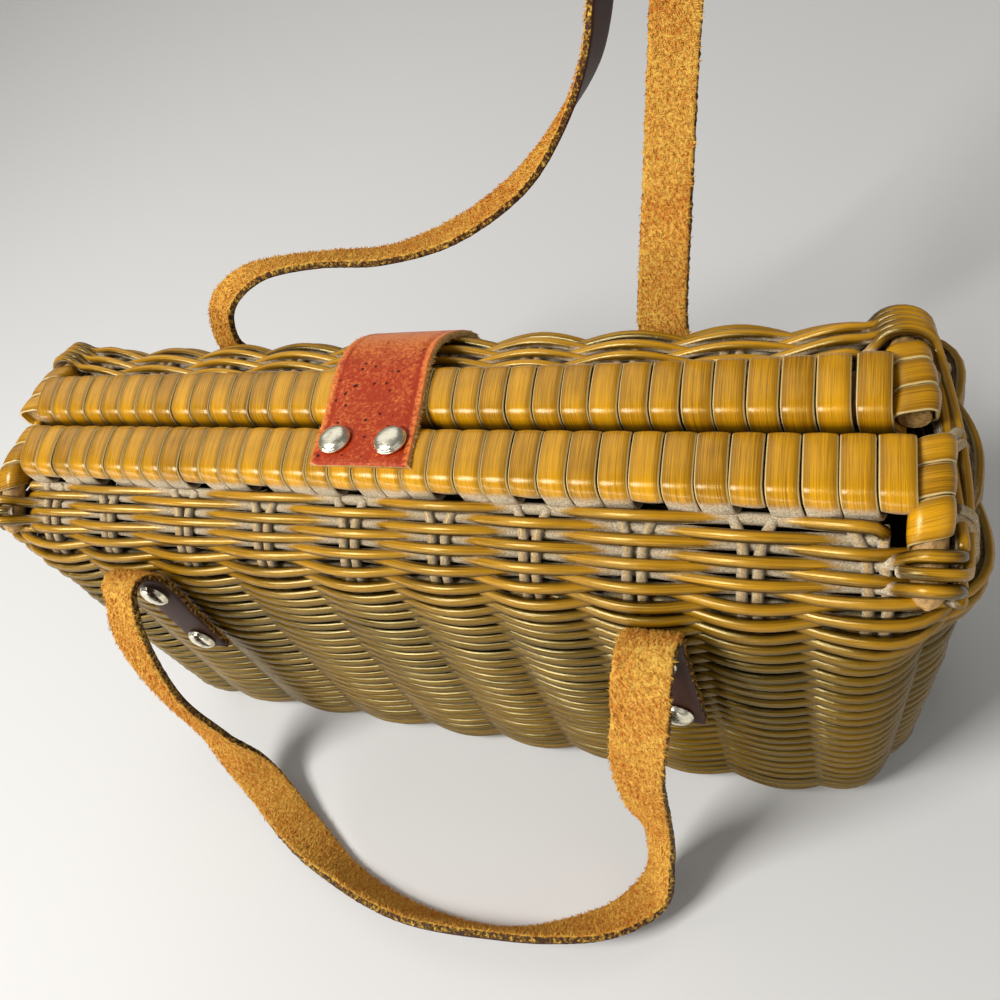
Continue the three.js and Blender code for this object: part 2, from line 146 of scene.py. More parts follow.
# Stakes under the rims: over what height they part, how far, and how far in they sink
UNDER_RIM = {"height": 8 * MM, "spread": 2.6 * MM, "sink": 1.2 * MM, "power": 1.5}
STAKE_OUT = -1.2 * MM  # how far out of the wall the varnish finds a stake
DEEP = {"from": 12 * MM, "over": 26 * MM}  # distance below the rim where the lower wall starts: thicker strands, deeper varnish, less dust and painted shade
# How far a strand's skin stands out of the wall where the varnish starts and is full, and where the painted
# shade deep in the weave does
VARNISH = (0.0 * MM, 2.2 * MM)
RECESS_SHADE = (-0.3 * MM, -3.2 * MM)
RECESS_SHADE_DEPTH = 1.6 * MM  # how much further out the painted shade deep in the weave reaches on the wall than on the shoulder
VARNISH_SHINE = (1.0, 0.8, 0.32, 1.0)  # tint of what the amber varnish mirrors
VARNISH_DEPTH = 2.0 * MM  # how much deeper the varnish reached on the wall than on the shoulder
SKIN_REACH = 1.8  # how much a strand's own roundness counts in that, in radii
FLANK_RISE = 0.7  # how far up a strand's best-lit side looks, for each unit that it looks out
FLANK_SHADE = (0.98, 0.3)  # how squarely a face looks where the painted shade on a strand's side starts and is full

# Woven floor: height, wave and radius of its strands, their numbers, and how far it runs under the wall
FLOOR = {"level": 2.9 * MM, "wave": 1.3 * MM, "radius": 1.3 * MM, "sticks": 9, "rows": 25, "under": 3 * MM}

# Flap route over both rims: x, y, z
FLAP_ROUTE = MM * np.array([
    (1.1, -17, 132.5),
    (-0.8, -5, 132.5),
    (-3, 7, 132.5),
    (-5.2, 19, 132.7),
    (-6.8, 28, 130.6),
    (-7.6, 35.5, 126.6),
    (-8.1, 42.5, 121),
    (-8.3, 47.6, 115.5),
    (-8.3, 50, 111),
    (-8.3, 50.2, 102),
    (-8.3, 50.2, 88),
])
# Radius of the flap's corners, and the breadth of its pressed line and rubbed edge
FLAP_EDGE = {"corner": 0.7 * MM, "crease": 0.45 * MM, "rubbed": 3.2 * MM}
FLAP_BEND_RUB_AND_SHEEN = {"y": 36 * MM, "over": 12 * MM}  # where the flap is lighter at its top bend: partly rubbed by the bend, partly a painted sheen
STRAP_EDGE = {"corner": 0.8 * MM, "fray": 0.12 * MM}
NAP_LEAN = (0.8, 0.0, 0.6)  # way from a fibre's foot to its tip
NAP_SIZES = (0.5, 1.3)  # least and greatest share of a fibre's full size
CAP_SPREAD = 8.9 * MM
CAP_FROM_END = 7.4 * MM
FLAP_RIVET_Z = 97 * MM
SEAT = 0.35 * MM

TAB = {"tip": 65, "lower_rivet": 70.5, "middle": 84, "upper_rivet": 98, "top": 104}
TAB_MIDDLE = 45.2
TAB_LEAN_FROM = 60
TAB_LEAN = {FRONT: 0.055, BACK: 0.092}
TAB_X = {(FRONT, LEFT): -82.5, (FRONT, RIGHT): 79.6, (BACK, LEFT): -90.5, (BACK, RIGHT): 67}
TAB_DROP = {(FRONT, RIGHT): 6}  # one tab is riveted lower than the others


def tab_y(side, z):
    """Depth of a handle tab's middle at a height, in millimetres."""
    return side * TAB_MIDDLE + (z - TAB_LEAN_FROM) * TAB_LEAN[side]


def tab_row(side, end, z):
    """Route row on a handle tab: place and the direction across the strap."""
    z -= TAB_DROP.get((side, end), 0)
    return (TAB_X[side, end], tab_y(side, z), z, -end, 0, 0)


# Handle routes from tab to tab: x, y, z, then the direction across the strap
FRONT_ROUTE = [
    tab_row(FRONT, LEFT, TAB["tip"]),
    tab_row(FRONT, LEFT, TAB["middle"]),
    tab_row(FRONT, LEFT, TAB["top"]),
    (-82, -45.5, 110.6, 1, -0.05, 0),
    (-80.8, -50.5, 112.6, 1, -0.15, 0.1),
    (-80.5, -55.5, 108, 1, -0.25, 0),
    (-86, -60.5, 92, 1, -0.15, -0.1),
    (-91, -65.5, 64, 1, -0.2, 0),
    (-91.5, -68, 33, 1, 0, 0.15),
    (-81.5, -75, 11, 0.5, 0.85, 0.1),
    (-62, -87, 6.5, 0.25, 0.9, -0.4),
    (-35.5, -99, 7.6, 0.1, 0.5, -0.85),
    (-7.5, -105.2, 8, 0, 0.4, -0.9),
    (21, -104.5, 8.2, -0.05, 0.25, -1),
    (42, -99.5, 8, -0.15, 0.45, -0.85),
    (59, -91.5, 7, -0.3, 0.7, -0.65),
    (69.5, -81, 9, -0.55, 0.75, -0.35),
    (72, -72, 24, -0.65, 0.75, -0.15),
    (73, -69.5, 50, -1, 0.35, 0),
    (75.7, -67, 78, -1, 0.2, 0),
    (79, -61.5, 95, -1, 0.1, 0),
    (80.3, -55.5, 105.6, -1, 0, 0),
    (80.5, -49, 107.8, -1, 0, 0),
    (80.5, -44, 104.2, -1, 0, 0),
    tab_row(FRONT, RIGHT, TAB["top"] - 2),
    tab_row(FRONT, RIGHT, TAB["middle"]),
    tab_row(FRONT, RIGHT, TAB["tip"]),
]
BACK_ROUTE = [
    tab_row(BACK, LEFT, TAB["tip"]),
    tab_row(BACK, LEFT, TAB["middle"]),
    tab_row(BACK, LEFT, TAB["top"]),
    (-92, 50.2, 116, 1, -0.35, 0),
    (-88, 52.5, 126.5, 0.75, -0.6, -0.25),
    (-77, 55.5, 135, 0.35, -0.95, -0.1),
    (-61.5, 59, 138.5, 0.2, -0.9, 0.3),
    (-44, 64, 136, 0.25, -0.85, 0.4),
    (-24, 68.5, 132, 0.25, -0.9, 0.35),
    (0, 76, 133.5, 0.3, -0.95, 0.15),
    (22.5, 85, 142.2, 0.4, -0.9, 0.15),
    (36, 95, 153, 0.35, -0.85, 0.35),
    (47, 105.7, 167, 0, -0.9, 0.5),
    (53, 118, 189, -0.2, -0.9, 0.4),
    (58, 130.5, 211, -0.3, -0.95, 0.3),
    (67, 138, 225, -0.2, -1, 0.4),
    (75, 133.5, 213, -0.5, -0.8, 0.4),
    (73.5, 122.5, 190, -0.9, -0.4, 0.2),
    (70, 107.5, 166, -1, -0.15, 0),
    (68.5, 84, 143.3, -1, 0, 0),
    (67.4, 64, 125, -1, 0, 0),
    (67, 52, 113.5, -1, 0, 0),
    tab_row(BACK, RIGHT, TAB["top"]),
    tab_row(BACK, RIGHT, TAB["middle"]),
    tab_row(BACK, RIGHT, TAB["tip"]),
]
# Route and flesh side of each strap
HANDLES = {"front_handle": (FRONT_ROUTE, -1), "back_handle": (BACK_ROUTE, 1)}

# Starts of the random draws
SEEDS = {
    "wall": 11, "shoulder": 23, "stakes": 5, "floor": 7, "rims": 3, "handles": 31,
    "rim_turns": 40, "bar_turns": 77, "nap": 9,
}

# Dome of a cap or rivet from its rim up: share of the radius, and share of the upright edge's height
HEAD_EDGE = ((0.97, 0.0), (1.0, 0.35), (0.985, 1.0))
HEAD_DOME = {"shoulder": 0.93, "start": 0.08}

# Lights: place and size, facing a point over the floor
LIGHTS = {
    "key": ((-0.4, -0.45, 0.9), (0.35, 0.35)),
    "fill": ((0.6, -0.35, 0.6), (0.7, 0.7)),
    "back": ((-0.8, 0.9, 1.3), (1.6, 1.6)),
    "strip": ((-0.85, -1.6, 0.3), (2.8, 0.2)),
}
LIGHT_AIM = Vector((0.0, 0.0, 0.08))
FLOOR_REACH = 4.0
SKY_COLOUR = (1.0, 0.99, 0.97, 1.0)


def length_property(name, description, default):
    """Length in metres that a user may change."""
    return bpy.props.FloatProperty(
        name=name, description=description, default=default, unit="LENGTH", precision=5
    )


def number_property(name, description, default):
    """Plain number that a user may change."""
    return bpy.props.FloatProperty(name=name, description=description, default=default)


def count_property(name, description, default):
    """Whole number that a user may change."""
    return bpy.props.IntProperty(name=name, description=description, default=default)


def vector_property(name, description, default):
    """Place or direction that a user may change."""
    return bpy.props.FloatVectorProperty(name=name, description=description, default=default, subtype="XYZ")


def colour_property(name, description, default):
    """Colour as it shows on a screen, from 0 to 255."""
    shown = tuple(channel / 255 for channel in default)
    return bpy.props.FloatVectorProperty(
        name=name, description=description, default=shown, subtype="COLOR_GAMMA", size=3, min=0, max=1
    )


class BasketWeave(bpy.types.PropertyGroup):
    """Sizes of the woven strands."""

    strand: length_property("Strand", "Diameter of a woven strand", 3.2 * MM)
    wall_strand: length_property("Wall strand", "Diameter of a strand low on the wall", 3.45 * MM)
    back_strand: length_property("Back strand", "Diameter of a strand on the back shoulder", 2.8 * MM)
    stake: length_property("Stake", "Diameter of one stake of a pair", 2.7 * MM)
    stake_spread: length_property("Stake spread", "From the middle of a pair to one stake", 1.75 * MM)
    wave: length_property("Wave", "How far a strand stands out over a stake pair", 2.6 * MM)
    wander: length_property("Wander", "How far a row strays up and down", 0.3 * MM)
    steps: count_property("Steps", "Points on a strand from stake to stake", 10)
    sides: count_property("Sides", "Flats around a strand", 8)


class BasketCane(bpy.types.PropertyGroup):
    """Sizes of the cane that wraps the rims and side bars."""

    pitch: length_property("Pitch", "Distance from turn to turn", 7.8 * MM)
    seam: length_property("Seam", "Dark gap between two turns", 0.28 * MM)
    thick: length_property("Thickness", "Thickness of the cane", 1.0 * MM)
    tuck: length_property("Tuck", "How far a turn is pulled in between the stakes of a pair", 2.6 * MM)
    bar_turns: count_property("Bar turns", "Turns of cane on a side bar", 3)


class BasketLeather(bpy.types.PropertyGroup):
    """Sizes of the leather pieces."""

    strap_width: length_property("Strap width", "Width of a handle strap", 14.4 * MM)
    strap_thick: length_property("Strap thickness", "Thickness of a handle strap", 2.6 * MM)
    flap_width: length_property("Flap width", "Width of the flap", 31 * MM)
    flap_thick: length_property("Flap thickness", "Thickness of the flap", 2.2 * MM)
    crease_inset: length_property("Crease inset", "From the flap's edge to its pressed line", 2.6 * MM)
    crease_depth: length_property("Crease depth", "Depth of the pressed line", 0.4 * MM)
    nap_length: length_property("Nap length", "Length of a loose fibre on a strap's flesh side", 1.2 * MM)
    nap_thick: length_property("Nap thickness", "Radius of a fibre's foot", 0.26 * MM)
    nap_density: number_property("Nap density", "Fibres to the square metre of flesh side", 2.0e6)


class BasketMetal(bpy.types.PropertyGroup):
    """Sizes of the caps and rivets."""

    radius: length_property("Radius", "Radius of a cap or rivet head", 4.8 * MM)
    height: length_property("Height", "Height of the dome", 2.6 * MM)
    edge: length_property("Edge", "Height of the dome's upright edge", 0.7 * MM)


class BasketColours(bpy.types.PropertyGroup):
    """Colours of the finishes."""

    varnish_light: colour_property("Varnish light", "Amber varnish where it is thin", (218, 156, 26))
    # The dark varnish colour also takes the painted shade on the strands' sides
    varnish_dark_and_shade: colour_property("Varnish dark", "Amber varnish where it is thick", (54, 34, 2))
    # The lower wall's colours are painted shade: the wall faces away from the light above
    shaded_wall_light: colour_property("Deep light", "Thin varnish on the lower wall", (118, 85, 6))
    shaded_wall_dark: colour_property("Deep dark", "Thick varnish on the lower wall", (10, 6, 1))
    # Painted shade deep in the weave and in the groove between the rims
    grime: colour_property("Shadow", "Dirt in the depth of the weave", (16, 11, 5))
    dust_light: colour_property("Dust light", "Bare strand that the varnish missed", (232, 216, 188))
    dust_dark: colour_property("Dust dark", "Dirt in the bare strand", (164, 146, 116))
    cane_light: colour_property("Cane light", "Pale fibres of the cane", (246, 176, 18))
    cane_dark: colour_property("Cane dark", "Dark fibres of the cane", (116, 72, 4))
    # The pale edge of a turn is partly dust in the seam and partly a painted highlight
    seam: colour_property("Seam", "Pale edge of a turn of cane", (240, 216, 150))
    core: colour_property("Core", "Bare core of a side bar", (214, 168, 100))
    # The light flap colour shows the rubbed edges, and at the top bend partly a painted sheen
    flap_light: colour_property("Flap light", "Rubbed leather of the flap", (255, 146, 70))
    flap_dark: colour_property("Flap dark", "Deep colour of the flap", (178, 54, 16))
    raw: colour_property("Raw leather", "Cut edge of the flap", (236, 196, 130))
    flesh_light: colour_property("Flesh light", "Fibre tips on the handle's flesh side", (255, 206, 92))
    flesh_dark: colour_property("Flesh dark", "Hollows in the handle's flesh side", (220, 132, 46))
    grain: colour_property("Grain", "Smooth side of the handle", (66, 36, 24))
    metal: colour_property("Metal", "Caps and rivets", (255, 248, 222))
    floor: colour_property("Floor", "Floor of the stage", (238, 236, 232))


class BasketStage(bpy.types.PropertyGroup):
    """Camera and lights."""

    place: vector_property("Camera place", "Where the camera stands", (0.1363, -0.1350, 0.2951))
    forward: vector_property("Camera forward", "Where the camera looks", (-0.4216, 0.5055, -0.7528))
    right: vector_property("Camera right", "The picture's right side", (0.9058, 0.2728, -0.3242))
    lens: number_property("Lens", "Focal length in mm on a 36 mm sensor", 32.4)
    sky: number_property("Sky", "Strength of the soft light all round", 0.15)
    key: number_property("Key", "Power of the main light in watts", 8.5)
    fill: number_property("Fill", "Power of the light from the right in watts", 0.6)
    back: number_property("Back", "Power of the soft light behind in watts", 6)
    strip: number_property("Strip", "Power of the low strip in front in watts", 14)


SETTINGS = {
    "basket_weave": BasketWeave,
    "basket_cane": BasketCane,
    "basket_leather": BasketLeather,
    "basket_metal": BasketMetal,
    "basket_colours": BasketColours,
    "basket_stage": BasketStage,
}


# Meshes and node trees


def plain_mesh(name, points, faces=(), edges=(), attributes=None, uv=None):
    """Mesh from arrays, with named point attributes and a UV for each point."""
    mesh = bpy.data.meshes.new(name)
    mesh.from_pydata(np.asarray(points).tolist(), [list(e) for e in edges], [list(f) for f in faces])
    for key, values in (attributes or {}).items():
        values = np.asarray(values, dtype=np.float32)
        kind = "FLOAT_VECTOR" if values.ndim == 2 else "FLOAT"
        field = "vector" if values.ndim == 2 else "value"
        mesh.attributes.new(key, kind, "POINT").data.foreach_set(field, values.ravel())
    if uv is not None:
        corners = np.empty(len(mesh.loops), dtype=np.int32)
        mesh.loops.foreach_get("vertex_index", corners)
        layer = mesh.uv_layers.new(name="UVMap")
        layer.data.foreach_set("uv", np.asarray(uv, dtype=np.float32)[corners].ravel())
    set_smooth(mesh, True)
    mesh.update()
    return mesh


def set_smooth(mesh, smooth):
    """Shades all of a mesh's faces smooth or flat."""
    mesh.polygons.foreach_set("use_smooth", np.full(len(mesh.polygons), smooth))


def tube_faces(rings, count):
    """Faces of a tube of rings of points, with a flat face on each end."""
    faces = []
    for low in range(0, (rings - 1) * count, count):
        high = low + count
        for i in range(count):
            beside = (i + 1) % count
            faces.append((low + i, high + i, high + beside, low + beside))
    faces.append(tuple(range(count)))
    faces.append(tuple(range(rings * count - 1, (rings - 1) * count - 1, -1)))
    return faces


def mesh_points(mesh):
    """Places of a mesh's points."""
    points = np.empty(len(mesh.vertices) * 3)
    mesh.vertices.foreach_get("co", points)
    return points.reshape(-1, 3)


def set_mesh_points(mesh, points):
    """Moves a mesh's points."""
    mesh.vertices.foreach_set("co", points.ravel())
    mesh.update()


def placed(name, mesh, material=None):
    """New object at the origin that shows a mesh."""
    piece = bpy.data.objects.new(name, mesh)
    bpy.context.scene.collection.objects.link(piece)
    if material is not None:
        mesh.materials.clear()
        mesh.materials.append(material)
    return piece


def on_frame(piece, slot, *nodes):
    """Ties a finished piece to the body and hides the solids that it stands for; its slot is not used."""
    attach(piece, BODY)
    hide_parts(*nodes)


def add_node(tree, kind, inputs=None, **settings):
    """Adds a node, sets its properties, then sets or links its inputs."""
    made = tree.nodes.new(kind)
    for name, value in settings.items():
        setattr(made, name, value)
    for key, value in (inputs or {}).items():
        if isinstance(value, bpy.types.NodeSocket):
            tree.links.new(value, made.inputs[key])
        else:
            made.inputs[key].default_value = value
    return made


def start_tree(name, kind, inputs, outputs):
    """Node group with its sockets, label by kind; returns the group and its input and output nodes."""
    tree = bpy.data.node_groups.new(name, kind)
    for way, sockets in (("INPUT", inputs), ("OUTPUT", outputs)):
        for label, socket in sockets.items():
            tree.interface.new_socket(label, in_out=way, socket_type="NodeSocket" + socket)
    return tree, tree.nodes.new("NodeGroupInput"), tree.nodes.new("NodeGroupOutput")


def start_geometry(name, **inputs):
    """Geometry Nodes tree that takes a geometry, more inputs by name and a material, and gives a geometry."""
    more = {label.replace("_", " "): socket for label, socket in inputs.items()}
    whole = {"Geometry": "Geometry", **more, "Material": "Material"}
    return start_tree(name, "GeometryNodeTree", whole, {"Geometry": "Geometry"})


def grown(name, source, tree, values):
    """Runs a Geometry Nodes tree on a source mesh and keeps the result as a plain mesh object."""
    holder = placed(name + "_source", source)
    modifier = holder.modifiers.new("Tree", "NODES")
    modifier.node_group = tree
    for item in tree.interface.items_tree:
        if item.in_out == "INPUT" and item.name in values:
            modifier[item.identifier] = values[item.name]
    depsgraph = bpy.context.evaluated_depsgraph_get()
    mesh = bpy.data.meshes.new_from_object(holder.evaluated_get(depsgraph), depsgraph=depsgraph)
    holder.modifiers.remove(modifier)
    bpy.data.objects.remove(holder)
    if not len(mesh.polygons):
        raise RuntimeError(f"{tree.name} made nothing for {name}")
    mesh.name = name
    return placed(name, mesh)


def named(tree, attribute, kind="FLOAT"):
    """Socket that reads a named attribute in a Geometry Nodes tree."""
    return add_node(tree, "GeometryNodeInputNamedAttribute", {"Name": attribute}, data_type=kind).outputs[0]


def kept(tree, geometry, attribute, value, domain="POINT"):
    """Geometry with a number stored on it under a name."""
    store = add_node(
        tree,
        "GeometryNodeStoreNamedAttribute",
        {"Geometry": geometry, "Name": attribute, "Value": value},
        data_type="FLOAT",
        domain=domain,
    )
    return store.outputs["Geometry"]


def finished_tree(tree, source, geometry, sink):
    """Last steps of every tree: realized, smooth and with its material."""
    solid = add_node(tree, "GeometryNodeRealizeInstances", {"Geometry": geometry})
    smooth = add_node(tree, "GeometryNodeSetShadeSmooth", {"Geometry": solid.outputs[0]})
    look = {"Geometry": smooth.outputs[0], "Material": source.outputs["Material"]}
    painted = add_node(tree, "GeometryNodeSetMaterial", look)
    tree.links.new(painted.outputs[0], sink.inputs[0])
    return tree


def vector_maths(tree, operation, *inputs):
    """Node that works on vectors."""
    return add_node(tree, "ShaderNodeVectorMath", dict(enumerate(inputs)), operation=operation)


def chance(tree, low, high, seed):
    """Random number for each thing that is placed."""
    inputs = {2: low, 3: high, "Seed": seed}
    return add_node(tree, "FunctionNodeRandomValue", inputs, data_type="FLOAT").outputs[1]


def strand_tree():
    """Turns edges into round strands, and marks the proud faces that the varnish reached and the faces that
    get painted shade.
    """
    tree, source, sink = start_geometry(
        "Wicker strands",
        Sides="Int",
        Varnish_from="Float",
        Varnish_to="Float",
        Varnish_depth="Float",
        Grime_from="Float",
        Grime_to="Float",
        Grime_depth="Float",
    )
    given = source.outputs
    path = add_node(tree, "GeometryNodeMeshToCurve", {"Mesh": given["Geometry"]})
    circle = add_node(tree, "GeometryNodeCurvePrimitiveCircle", {"Resolution": given["Sides"], "Radius": 1.0})
    around = add_node(tree, "GeometryNodeSplineParameter")
    section = kept(tree, circle.outputs["Curve"], "around", around.outputs["Factor"])
    tube = add_node(
        tree,
        "GeometryNodeCurveToMesh",
        {
            "Curve": path.outputs["Curve"],
            "Profile Curve": section,
            "Scale": named(tree, "thick"),
            "Fill Caps": True,
        },
    )
    normal = add_node(tree, "GeometryNodeInputNormal").outputs[0]
    outward = named(tree, "outward", "FLOAT_VECTOR")
    facing = vector_maths(tree, "DOT_PRODUCT", normal, outward).outputs["Value"]
    level = plus(tree, times(tree, facing, times(tree, named(tree, "thick"), SKIN_REACH)), named(tree, "out"))
    varnished = plus(tree, level, times(tree, named(tree, "deep"), given["Varnish depth"]))
    # Painted shade deep in the weave: the deeper the skin lies, the darker
    shaded_level = minus(tree, level, times(tree, named(tree, "deep"), given["Grime depth"]))
    # Painted shade on a strand's side that faces away from a direction tilted up towards the light above
    raised = vector_maths(tree, "ADD", outward, (0.0, 0.0, FLANK_RISE)).outputs[0]
    aim = vector_maths(tree, "NORMALIZE", raised).outputs[0]
    shown = vector_maths(tree, "DOT_PRODUCT", normal, aim).outputs["Value"]
    marked = tube.outputs["Mesh"]
    for name, value, low, high in (
        ("varnish", varnished, given["Varnish from"], given["Varnish to"]),
        ("flank", shown, *FLANK_SHADE),
        ("grime", shaded_level, given["Grime from"], given["Grime to"]),
    ):
        mask = add_node(tree, "ShaderNodeMapRange", {"Value": value, 1: low, 2: high})
        marked = kept(tree, marked, name, mask.outputs[0])
    return finished_tree(tree, source, marked, sink)


def turn_tree():
    """Sets turns of cane on points: plain ones, or tucked ones where the point says so."""
    tree, source, sink = start_geometry("Cane turns", Plain_turn="Object", Tucked_turn="Object", Seed="Int")
    turned = add_node(tree, "FunctionNodeEulerToRotation", {"Euler": named(tree, "turned", "FLOAT_VECTOR")})
    joined = add_node(tree, "GeometryNodeJoinGeometry")
    for label, wanted in (("Plain turn", 0.0), ("Tucked turn", 1.0)):
        shape = add_node(tree, "GeometryNodeObjectInfo", {"Object": source.outputs[label]})
        chosen = add_node(
            tree,
            "FunctionNodeCompare",
            {"A": named(tree, "tucked"), "B": wanted, "Epsilon": 0.1},
            data_type="FLOAT",
            operation="EQUAL",
        )
        placement = add_node(
            tree,
            "GeometryNodeInstanceOnPoints",
            {
                "Points": source.outputs["Geometry"],
                "Selection": chosen.outputs[0],
                "Instance": shape.outputs["Geometry"],
                "Rotation": turned.outputs[0],
                "Scale": named(tree, "stretch", "FLOAT_VECTOR"),
            },
        )
        tree.links.new(placement.outputs[0], joined.inputs[0])
    own = chance(tree, 0.0, 1.0, source.outputs["Seed"])
    varied = kept(tree, joined.outputs[0], "turn", own, "INSTANCE")
    return finished_tree(tree, source, varied, sink)


def nap_tree():
    """Scatters leaning fibres over the faces that a piece marks as flesh."""
    tree, source, sink = start_geometry("Nap", Fibre="Object", Density="Float", Seed="Int")
    seed = source.outputs["Seed"]
    marked = maths(tree, "GREATER_THAN", named(tree, "flesh"), 0.6)
    density = times(tree, marked, source.outputs["Density"])
    scattered = add_node(
        tree,
        "GeometryNodeDistributePointsOnFaces",
        {"Mesh": source.outputs["Geometry"], "Density": density, "Seed": seed},
    )
    shape = add_node(tree, "GeometryNodeObjectInfo", {"Object": source.outputs["Fibre"]})
    swing = {"Axis": (0.0, 0.0, 1.0), "Angle": chance(tree, 0.0, 2 * math.pi, seed)}
    spin = add_node(tree, "FunctionNodeAxisAngleToRotation", swing)
    turned = add_node(
        tree,
        "FunctionNodeRotateRotation",
        {"Rotation": scattered.outputs["Rotation"], "Rotate By": spin.outputs[0]},
        rotation_space="LOCAL",
    )
    placement = add_node(
        tree,
        "GeometryNodeInstanceOnPoints",
        {
            "Points": scattered.outputs["Points"],
            "Instance": shape.outputs["Geometry"],
            "Rotation": turned.outputs[0],
            "Scale": chance(tree, *NAP_SIZES, seed),
        },
    )
    return finished_tree(tree, source, placement.outputs[0], sink)


def head_tree():
    """Sets a cap or rivet head on each point, square to the point's axis."""
    tree, source, sink = start_geometry("Caps and rivets", Head="Object")
    shape = add_node(tree, "GeometryNodeObjectInfo", {"Object": source.outputs["Head"]})
    turned = add_node(
        tree, "FunctionNodeAlignRotationToVector", {"Vector": named(tree, "axis", "FLOAT_VECTOR")}, axis="Z"
    )
    placement = add_node(
        tree,
        "GeometryNodeInstanceOnPoints",
        {
            "Points": source.outputs["Geometry"],
            "Instance": shape.outputs["Geometry"],
            "Rotation": turned.outputs[0],
        },
    )
    return finished_tree(tree, source, placement.outputs[0], sink)


# Materials


def linear(shown):
    """Scene colour for a colour as it shows on a screen."""
    channels = [c / 12.92 if c <= 0.04045 else ((c + 0.055) / 1.055) ** 2.4 for c in shown]
    return (*channels, 1.0)


def dimmed(colour, share):
    """Scene colour made darker or brighter by a share."""
    return (*(min(1.0, channel * share) for channel in colour[:3]), 1.0)


def attribute(tree, name):
    """Number that a piece carries at each point."""
    return add_node(tree, "ShaderNodeAttribute", attribute_name=name).outputs["Fac"]


def maths(tree, operation, first, second):
    """Result of one sum on two numbers or sockets."""
    return add_node(tree, "ShaderNodeMath", {0: first, 1: second}, operation=operation).outputs[0]


def plus(tree, first, second):
    """Sum of two numbers or sockets."""
    return maths(tree, "ADD", first, second)


def minus(tree, first, second):
    """First less second."""
    return maths(tree, "SUBTRACT", first, second)


def times(tree, first, second):
    """Product of two numbers or sockets."""
    return maths(tree, "MULTIPLY", first, second)


def centred(tree, value, amount):
    """Value that lies around one half, brought around nought and scaled."""
    return times(tree, minus(tree, value, 0.5), amount)


def ramped(tree, value, low, high, to_low=0.0, to_high=1.0):
    """Value eased from one range to another, and held at its ends."""
    ranged = add_node(
        tree,
        "ShaderNodeMapRange",
        {"Value": value, 1: low, 2: high, 3: to_low, 4: to_high},
        interpolation_type="SMOOTHSTEP",
    )
    return ranged.outputs[0]


def mixed(tree, share, first, second):
    """Colour between two colours or sockets."""
    mix = add_node(tree, "ShaderNodeMix", {0: share, 6: first, 7: second}, data_type="RGBA")
    return mix.outputs[2]


def noise(tree, vector, scale, detail=3.0, roughness=0.6):
    """Cloudy value around one half."""
    inputs = {"Vector": vector, "Scale": scale, "Detail": detail, "Roughness": roughness}
    return add_node(tree, "ShaderNodeTexNoise", inputs).outputs["Fac"]


def fibre_group():
    """Fine lines that run along a strand or a band, from its own lengthwise and crosswise measures."""
    tree, source, sink = start_tree(
        "Fibre lines",
        "ShaderNodeTree",
        dict.fromkeys(("Along", "Across", "Piece", "Along scale", "Across scale"), "Float"),
        {"Lines": "Float", "Patches": "Float"},
    )
    own = times(tree, source.outputs["Piece"], 57.0)
    place = add_node(
        tree,
        "ShaderNodeCombineXYZ",
        {
            0: times(tree, source.outputs["Along"], source.outputs["Along scale"]),
            1: times(tree, source.outputs["Across"], source.outputs["Across scale"]),
            2: own,
        },
    )
    tree.links.new(noise(tree, place.outputs[0], 1.0, 4.0, 0.65), sink.inputs["Lines"])
    patch = add_node(
        tree,
        "ShaderNodeCombineXYZ",
        {0: times(tree, source.outputs["Along"], 90.0), 1: own, 2: 0.0},
    )
    tree.links.new(noise(tree, patch.outputs[0], 1.0, 2.0), sink.inputs["Patches"])
    return tree


def dust_group():
    """Grey dirt that lies where a mask says, broken up by grit."""
    tree, source, sink = start_tree(
        "Dust",
        "ShaderNodeTree",
        {"Place": "Vector", "Mask": "Float", "Light": "Color", "Dark": "Color"},
        {"Colour": "Color", "Share": "Float", "Grit": "Float"},
    )
    grit = noise(tree, source.outputs["Place"], 2400.0, 2.0, 0.6)
    cloud = noise(tree, source.outputs["Place"], 260.0)
    shade = ramped(tree, grit, 0.25, 0.7)
    tree.links.new(mixed(tree, shade, source.outputs["Dark"], source.outputs["Light"]), sink.inputs["Colour"])
    broken = plus(tree, source.outputs["Mask"], centred(tree, cloud, 0.4))
    frayed = plus(tree, broken, centred(tree, grit, 0.3))
    tree.links.new(ramped(tree, frayed, 0.15, 0.85), sink.inputs["Share"])
    tree.links.new(grit, sink.inputs["Grit"])
    return tree


def group(tree, made, inputs):
    """Places a shared shader group in a material."""
    return add_node(tree, "ShaderNodeGroup", inputs, node_tree=made).outputs


def start_material(name, **constants):
    """New material; constants are set on its Principled shader. Returns material, tree and shader."""
    material = bpy.data.materials.new(name)
    material.use_nodes = True
    tree = material.node_tree
    shader = tree.nodes["Principled BSDF"]
    for key, value in constants.items():
        shader.inputs[key.replace("_", " ")].default_value = value
    return material, tree, shader


def bumped(tree, shader, height, distance, strength=1.0):
    """Feeds a height to the shader's normal."""
    bump = add_node(tree, "ShaderNodeBump", {"Height": height, "Distance": distance, "Strength": strength})
    tree.links.new(bump.outputs[0], shader.inputs["Normal"])


def object_place(tree):
    """Coordinates in the piece's own frame."""
    return add_node(tree, "ShaderNodeTexCoord").outputs["Object"]


def stretched(tree, scale):
    """Coordinates in the piece's own frame, scaled along each axis."""
    return add_node(tree, "ShaderNodeMapping", {"Vector": object_place(tree), "Scale": scale}).outputs[0]


def feed(tree, shader, **sources):
    """Links sockets to the shader's inputs."""
    for key, value in sources.items():
        tree.links.new(value, shader.inputs[key.replace("_", " ")])


